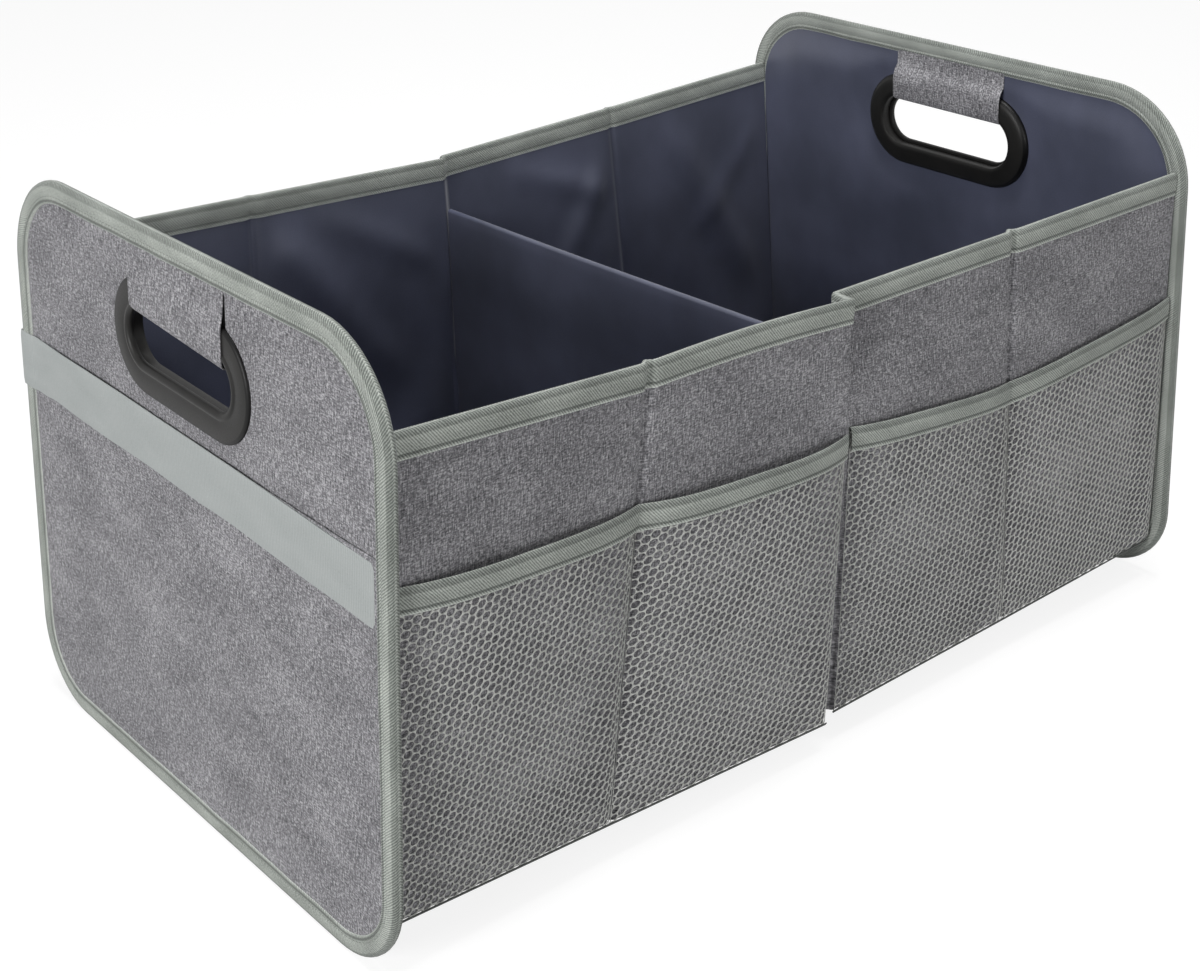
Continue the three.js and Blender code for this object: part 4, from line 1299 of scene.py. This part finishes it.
def base_board(name, node):
    """A stiff board wrapped in lining cloth, with soft edges. It lies a little higher at its outer end."""
    low, high = node_box(node)
    bpy.ops.object.select_all(action="DESELECT")
    bpy.ops.mesh.primitive_cube_add(size=1.0)
    piece = bpy.context.object
    piece.name = name
    bpy.ops.object.mode_set(mode="EDIT")
    bpy.ops.mesh.select_all(action="SELECT")
    bpy.ops.mesh.subdivide(number_cuts=15)
    bpy.ops.object.mode_set(mode="OBJECT")
    outer_z = high.z - BASE_BOARD_THICKNESS
    for vertex in piece.data.vertices:
        x = mix(low.x, high.x, vertex.co.x + 0.5)
        y = mix(low.y, high.y, vertex.co.y + 0.5)
        out = (high.x - x if low.x < 0 else x - low.x) / (high.x - low.x)
        z = mix(low.z, outer_z, out) + (vertex.co.z + 0.5) * BASE_BOARD_THICKNESS
        vertex.co = Vector((x, y, z)) * MM
    bevel = piece.modifiers.new("soft_edges", "BEVEL")
    bevel.width = 1.2 * MM
    bevel.segments = 3
    bpy.ops.object.modifier_apply(modifier=bevel.name)
    bpy.ops.object.shade_smooth_by_angle(angle=math.radians(40))
    layer = piece.data.uv_layers.active
    for loop in piece.data.loops:
        at = piece.data.vertices[loop.vertex_index].co / MM
        layer.data[loop.index].uv = (at.x, at.y)
    settle(piece, LINING, "lining", node)


# Stitches

STITCH_LENGTH = 2.3
STITCH_PITCH = 3.1
STITCH_HALF = 0.28
STITCH_SIDES = 5

# A stitch from end to end, as (share of its length, share of its half thickness)
STITCH_SHAPE = [(-0.5, 0.25), (-0.32, 0.9), (0.32, 0.9), (0.5, 0.25)]

# Where the rows lie: from the panel's edge, in each of its two faces, and above a flat tape's lower edge
PANEL_STITCH_INSET = 7.4
PANEL_STITCH_DEPTHS = {"outer": 0.75, "inner": 5.25}
TAPE_STITCH_RISE = 2.8


def stitch_line(name, path, out):
    """A row of short stitches along a path of points, standing a little out of the tape, as one piece."""
    lengths = running_lengths(path)
    vertices, faces = [], []
    place = STITCH_PITCH / 2
    k = 0
    while place < lengths[-1] - STITCH_LENGTH:
        while lengths[k + 1] < place:
            k += 1
        a, b = Vector(path[k]), Vector(path[k + 1])
        centre = a.lerp(b, (place - lengths[k]) / (lengths[k + 1] - lengths[k]))
        run = (b - a).normalized()
        across = run.cross(Vector(out)).normalized()
        lift = across.cross(run).normalized()
        first = len(vertices)
        for along, thick in STITCH_SHAPE:
            for s in range(STITCH_SIDES):
                angle = math.tau * s / STITCH_SIDES
                offset = (across * math.cos(angle) + lift * (0.8 * math.sin(angle))) * (STITCH_HALF * thick)
                vertices.append((centre + run * (along * STITCH_LENGTH) + offset) * MM)
        last = len(vertices) - STITCH_SIDES
        for low in range(first, last, STITCH_SIDES):
            high = low + STITCH_SIDES
            for s in range(STITCH_SIDES):
                n = (s + 1) % STITCH_SIDES
                faces.append((low + s, low + n, high + n, high + s))
        faces.append([first + s for s in reversed(range(STITCH_SIDES))])
        faces.append([last + s for s in range(STITCH_SIDES)])
        place += STITCH_PITCH
    piece = mesh_piece(name, vertices, faces, closed=True, angle=60.0)
    settle(piece, THREAD, "binding_tape")


def panel_stitches(panel):
    for name, depth in PANEL_STITCH_DEPTHS.items():
        path = [panel.place(y, z, depth) for y, z in outline(PANEL_STITCH_INSET)]
        out = (panel.side if name == "outer" else -panel.side, 0, 0)
        stitch_line(f"{panel.name}_{name}_stitches", path, out)


def wall_stitches(wall, cover):
    fall = WALL_TAPE_WIDTH - TAPE_STITCH_RISE
    path = [cover.point(i, wall.top_height(cover.station(i)) - fall, -0.5) for i in range(cover.count)]
    stitch_line(f"{wall.name}_tape_stitches", path, (0, wall.side, 0))


def pocket_stitches(pocket):
    path = [pocket.point(s, POCKET_TAPE_WIDTH - TAPE_STITCH_RISE, 0.85) for s in steps(60)]
    stitch_line(f"mouth_stitches_{pocket.number}", path, (0, -1, 0))


# The whole organizer

for panel in (NEAR, FAR):
    binding(panel)
    end_cover(panel)
    end_board(panel)
    end_lining(panel)
    slip_pocket(panel)
    pocket_band(panel)
    handle_frame(panel, "outer_handle_ring", OUTER_FRAME_SECTION, COVER_DEPTH - 0.2,
                 f"{panel.name}_handle_outer_frame")
    handle_frame(panel, "inner_handle_ring", INNER_FRAME_SECTION, LINING_DEPTH + 0.2,
                 f"{panel.name}_handle_inner_frame")
    panel_stitches(panel)

for wall, cover, lining in ((FRONT, FRONT_COVER, FRONT_LINING), (BACK, BACK_COVER, BACK_LINING)):
    wall_cloth(cover, f"{wall.name}_cover_cloth", COVER, "cover_cloth", f"{wall.name}_wall_cover",
               0.2, 0.2, cover_wrinkle)
    wall_cloth(lining, f"{wall.name}_lining_cloth", LINING, "lining", f"{wall.name}_wall_lining",
               0.0, 1.2, lining_wrinkle)
    wall_tape(wall, cover, lining)
    wall_boards(wall, cover)
    wall_stitches(wall, cover)

for pocket in POCKETS:
    mesh_net(pocket)
    pocket_tape(pocket)
    net_hem_shade(pocket)
    pocket_stitches(pocket)

divider()
bottom_cloth("bottom_cover_cloth", "bottom_cover", 0.2, 0.2, 0.5, COVER, "cover_cloth")
bottom_cloth("bottom_lining_cloth", "bottom_lining", 1.2, 3.2, 0.0, LINING, "lining")
base_board("near_base", "near_base_board")
base_board("far_base", "far_base_board")

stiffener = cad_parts["divider_board"]
stiffener.data.materials.clear()
stiffener.data.materials.append(BOARD)


# Camera, as the photograph was taken

CAMERA_PLACE = Vector((-634.55, -748.5, 585.0)) * MM
CAMERA_AIM = Vector((-31.85, -15.45, 110.54)) * MM
CAMERA_ROLL = math.radians(-1.13)
CAMERA_LENS = 57.54

# What the lamps point at, and how much light the white surroundings give
LIGHT_AIM = Vector((0, 0, 0.15))
SURROUNDING_LIGHT = 0.12


def add_camera():
    bpy.ops.object.camera_add(location=CAMERA_PLACE)
    camera = bpy.context.object
    camera.data.lens = CAMERA_LENS
    camera.data.sensor_width = 36.0
    turn = (CAMERA_AIM - CAMERA_PLACE).to_track_quat("-Z", "Y").to_matrix()
    camera.rotation_euler = (turn @ Matrix.Rotation(CAMERA_ROLL, 3, "Z")).to_euler()
    bpy.context.scene.camera = camera


def add_area_light(name, place, size, power):
    bpy.ops.object.light_add(type="AREA", location=place)
    lamp = bpy.context.object
    lamp.name = name
    lamp.data.shape = "DISK"
    lamp.data.size = size
    lamp.data.energy = power
    lamp.rotation_euler = (LIGHT_AIM - Vector(place)).to_track_quat("-Z", "Y").to_euler()


def seen_directly(tree):
    """1 where the camera, a reflection or clear plastic sees it, and 0 for the light that it gives."""
    rays = add_node(tree, "ShaderNodeLightPath").outputs
    seen = rays["Is Camera Ray"]
    for kind in ("Is Glossy Ray", "Is Transmission Ray"):
        seen = add_node(tree, "ShaderNodeMath", {0: seen, 1: rays[kind]}, operation="MAXIMUM").outputs[0]
    return seen


add_camera()
add_area_light("key_light", (-2.4, -0.4, 0.85), 1.0, 41)
add_area_light("front_light", (-0.2, -2.4, 0.6), 0.9, 15)
add_area_light("top_light", (0.0, -0.1, 2.3), 0.8, 37)

scene = bpy.context.scene
scene.view_settings.view_transform = "Standard"

world = bpy.data.worlds.new("studio")
scene.world = world
world.use_nodes = True
sky = world.node_tree
strength = add_node(sky, "ShaderNodeMapRange", {
    "Value": seen_directly(sky), "From Min": 0.0, "From Max": 1.0, "To Min": SURROUNDING_LIGHT, "To Max": 1.0,
})
connect(sky, sky.nodes["Background"], {"Color": (1, 1, 1, 1), "Strength": strength.outputs["Result"]})

# White paper to the eye, which keeps the object's shadow, and mid grey in what it throws back on the object
bpy.ops.mesh.primitive_plane_add(size=16)
floor = bpy.context.object
floor.name = "floor"
paper, tree, shader = new_material("background_paper")
tree.nodes.remove(shader)
output = tree.nodes["Material Output"]
grey = add_node(tree, "ShaderNodeBsdfDiffuse", {"Color": linear("#9c9c9c")})
pale = add_node(tree, "ShaderNodeBsdfDiffuse", {"Color": linear("#f6f6f6")})
glow = add_node(tree, "ShaderNodeEmission", {"Color": (1, 1, 1, 1), "Strength": 1.14})
lit = add_node(tree, "ShaderNodeMixShader", {0: 0.75, 1: pale.outputs[0], 2: glow.outputs[0]})
both = add_node(tree, "ShaderNodeMixShader", {0: seen_directly(tree), 1: grey.outputs[0], 2: lit.outputs[0]})
tree.links.new(both.outputs[0], output.inputs["Surface"])
floor.data.materials.append(paper)
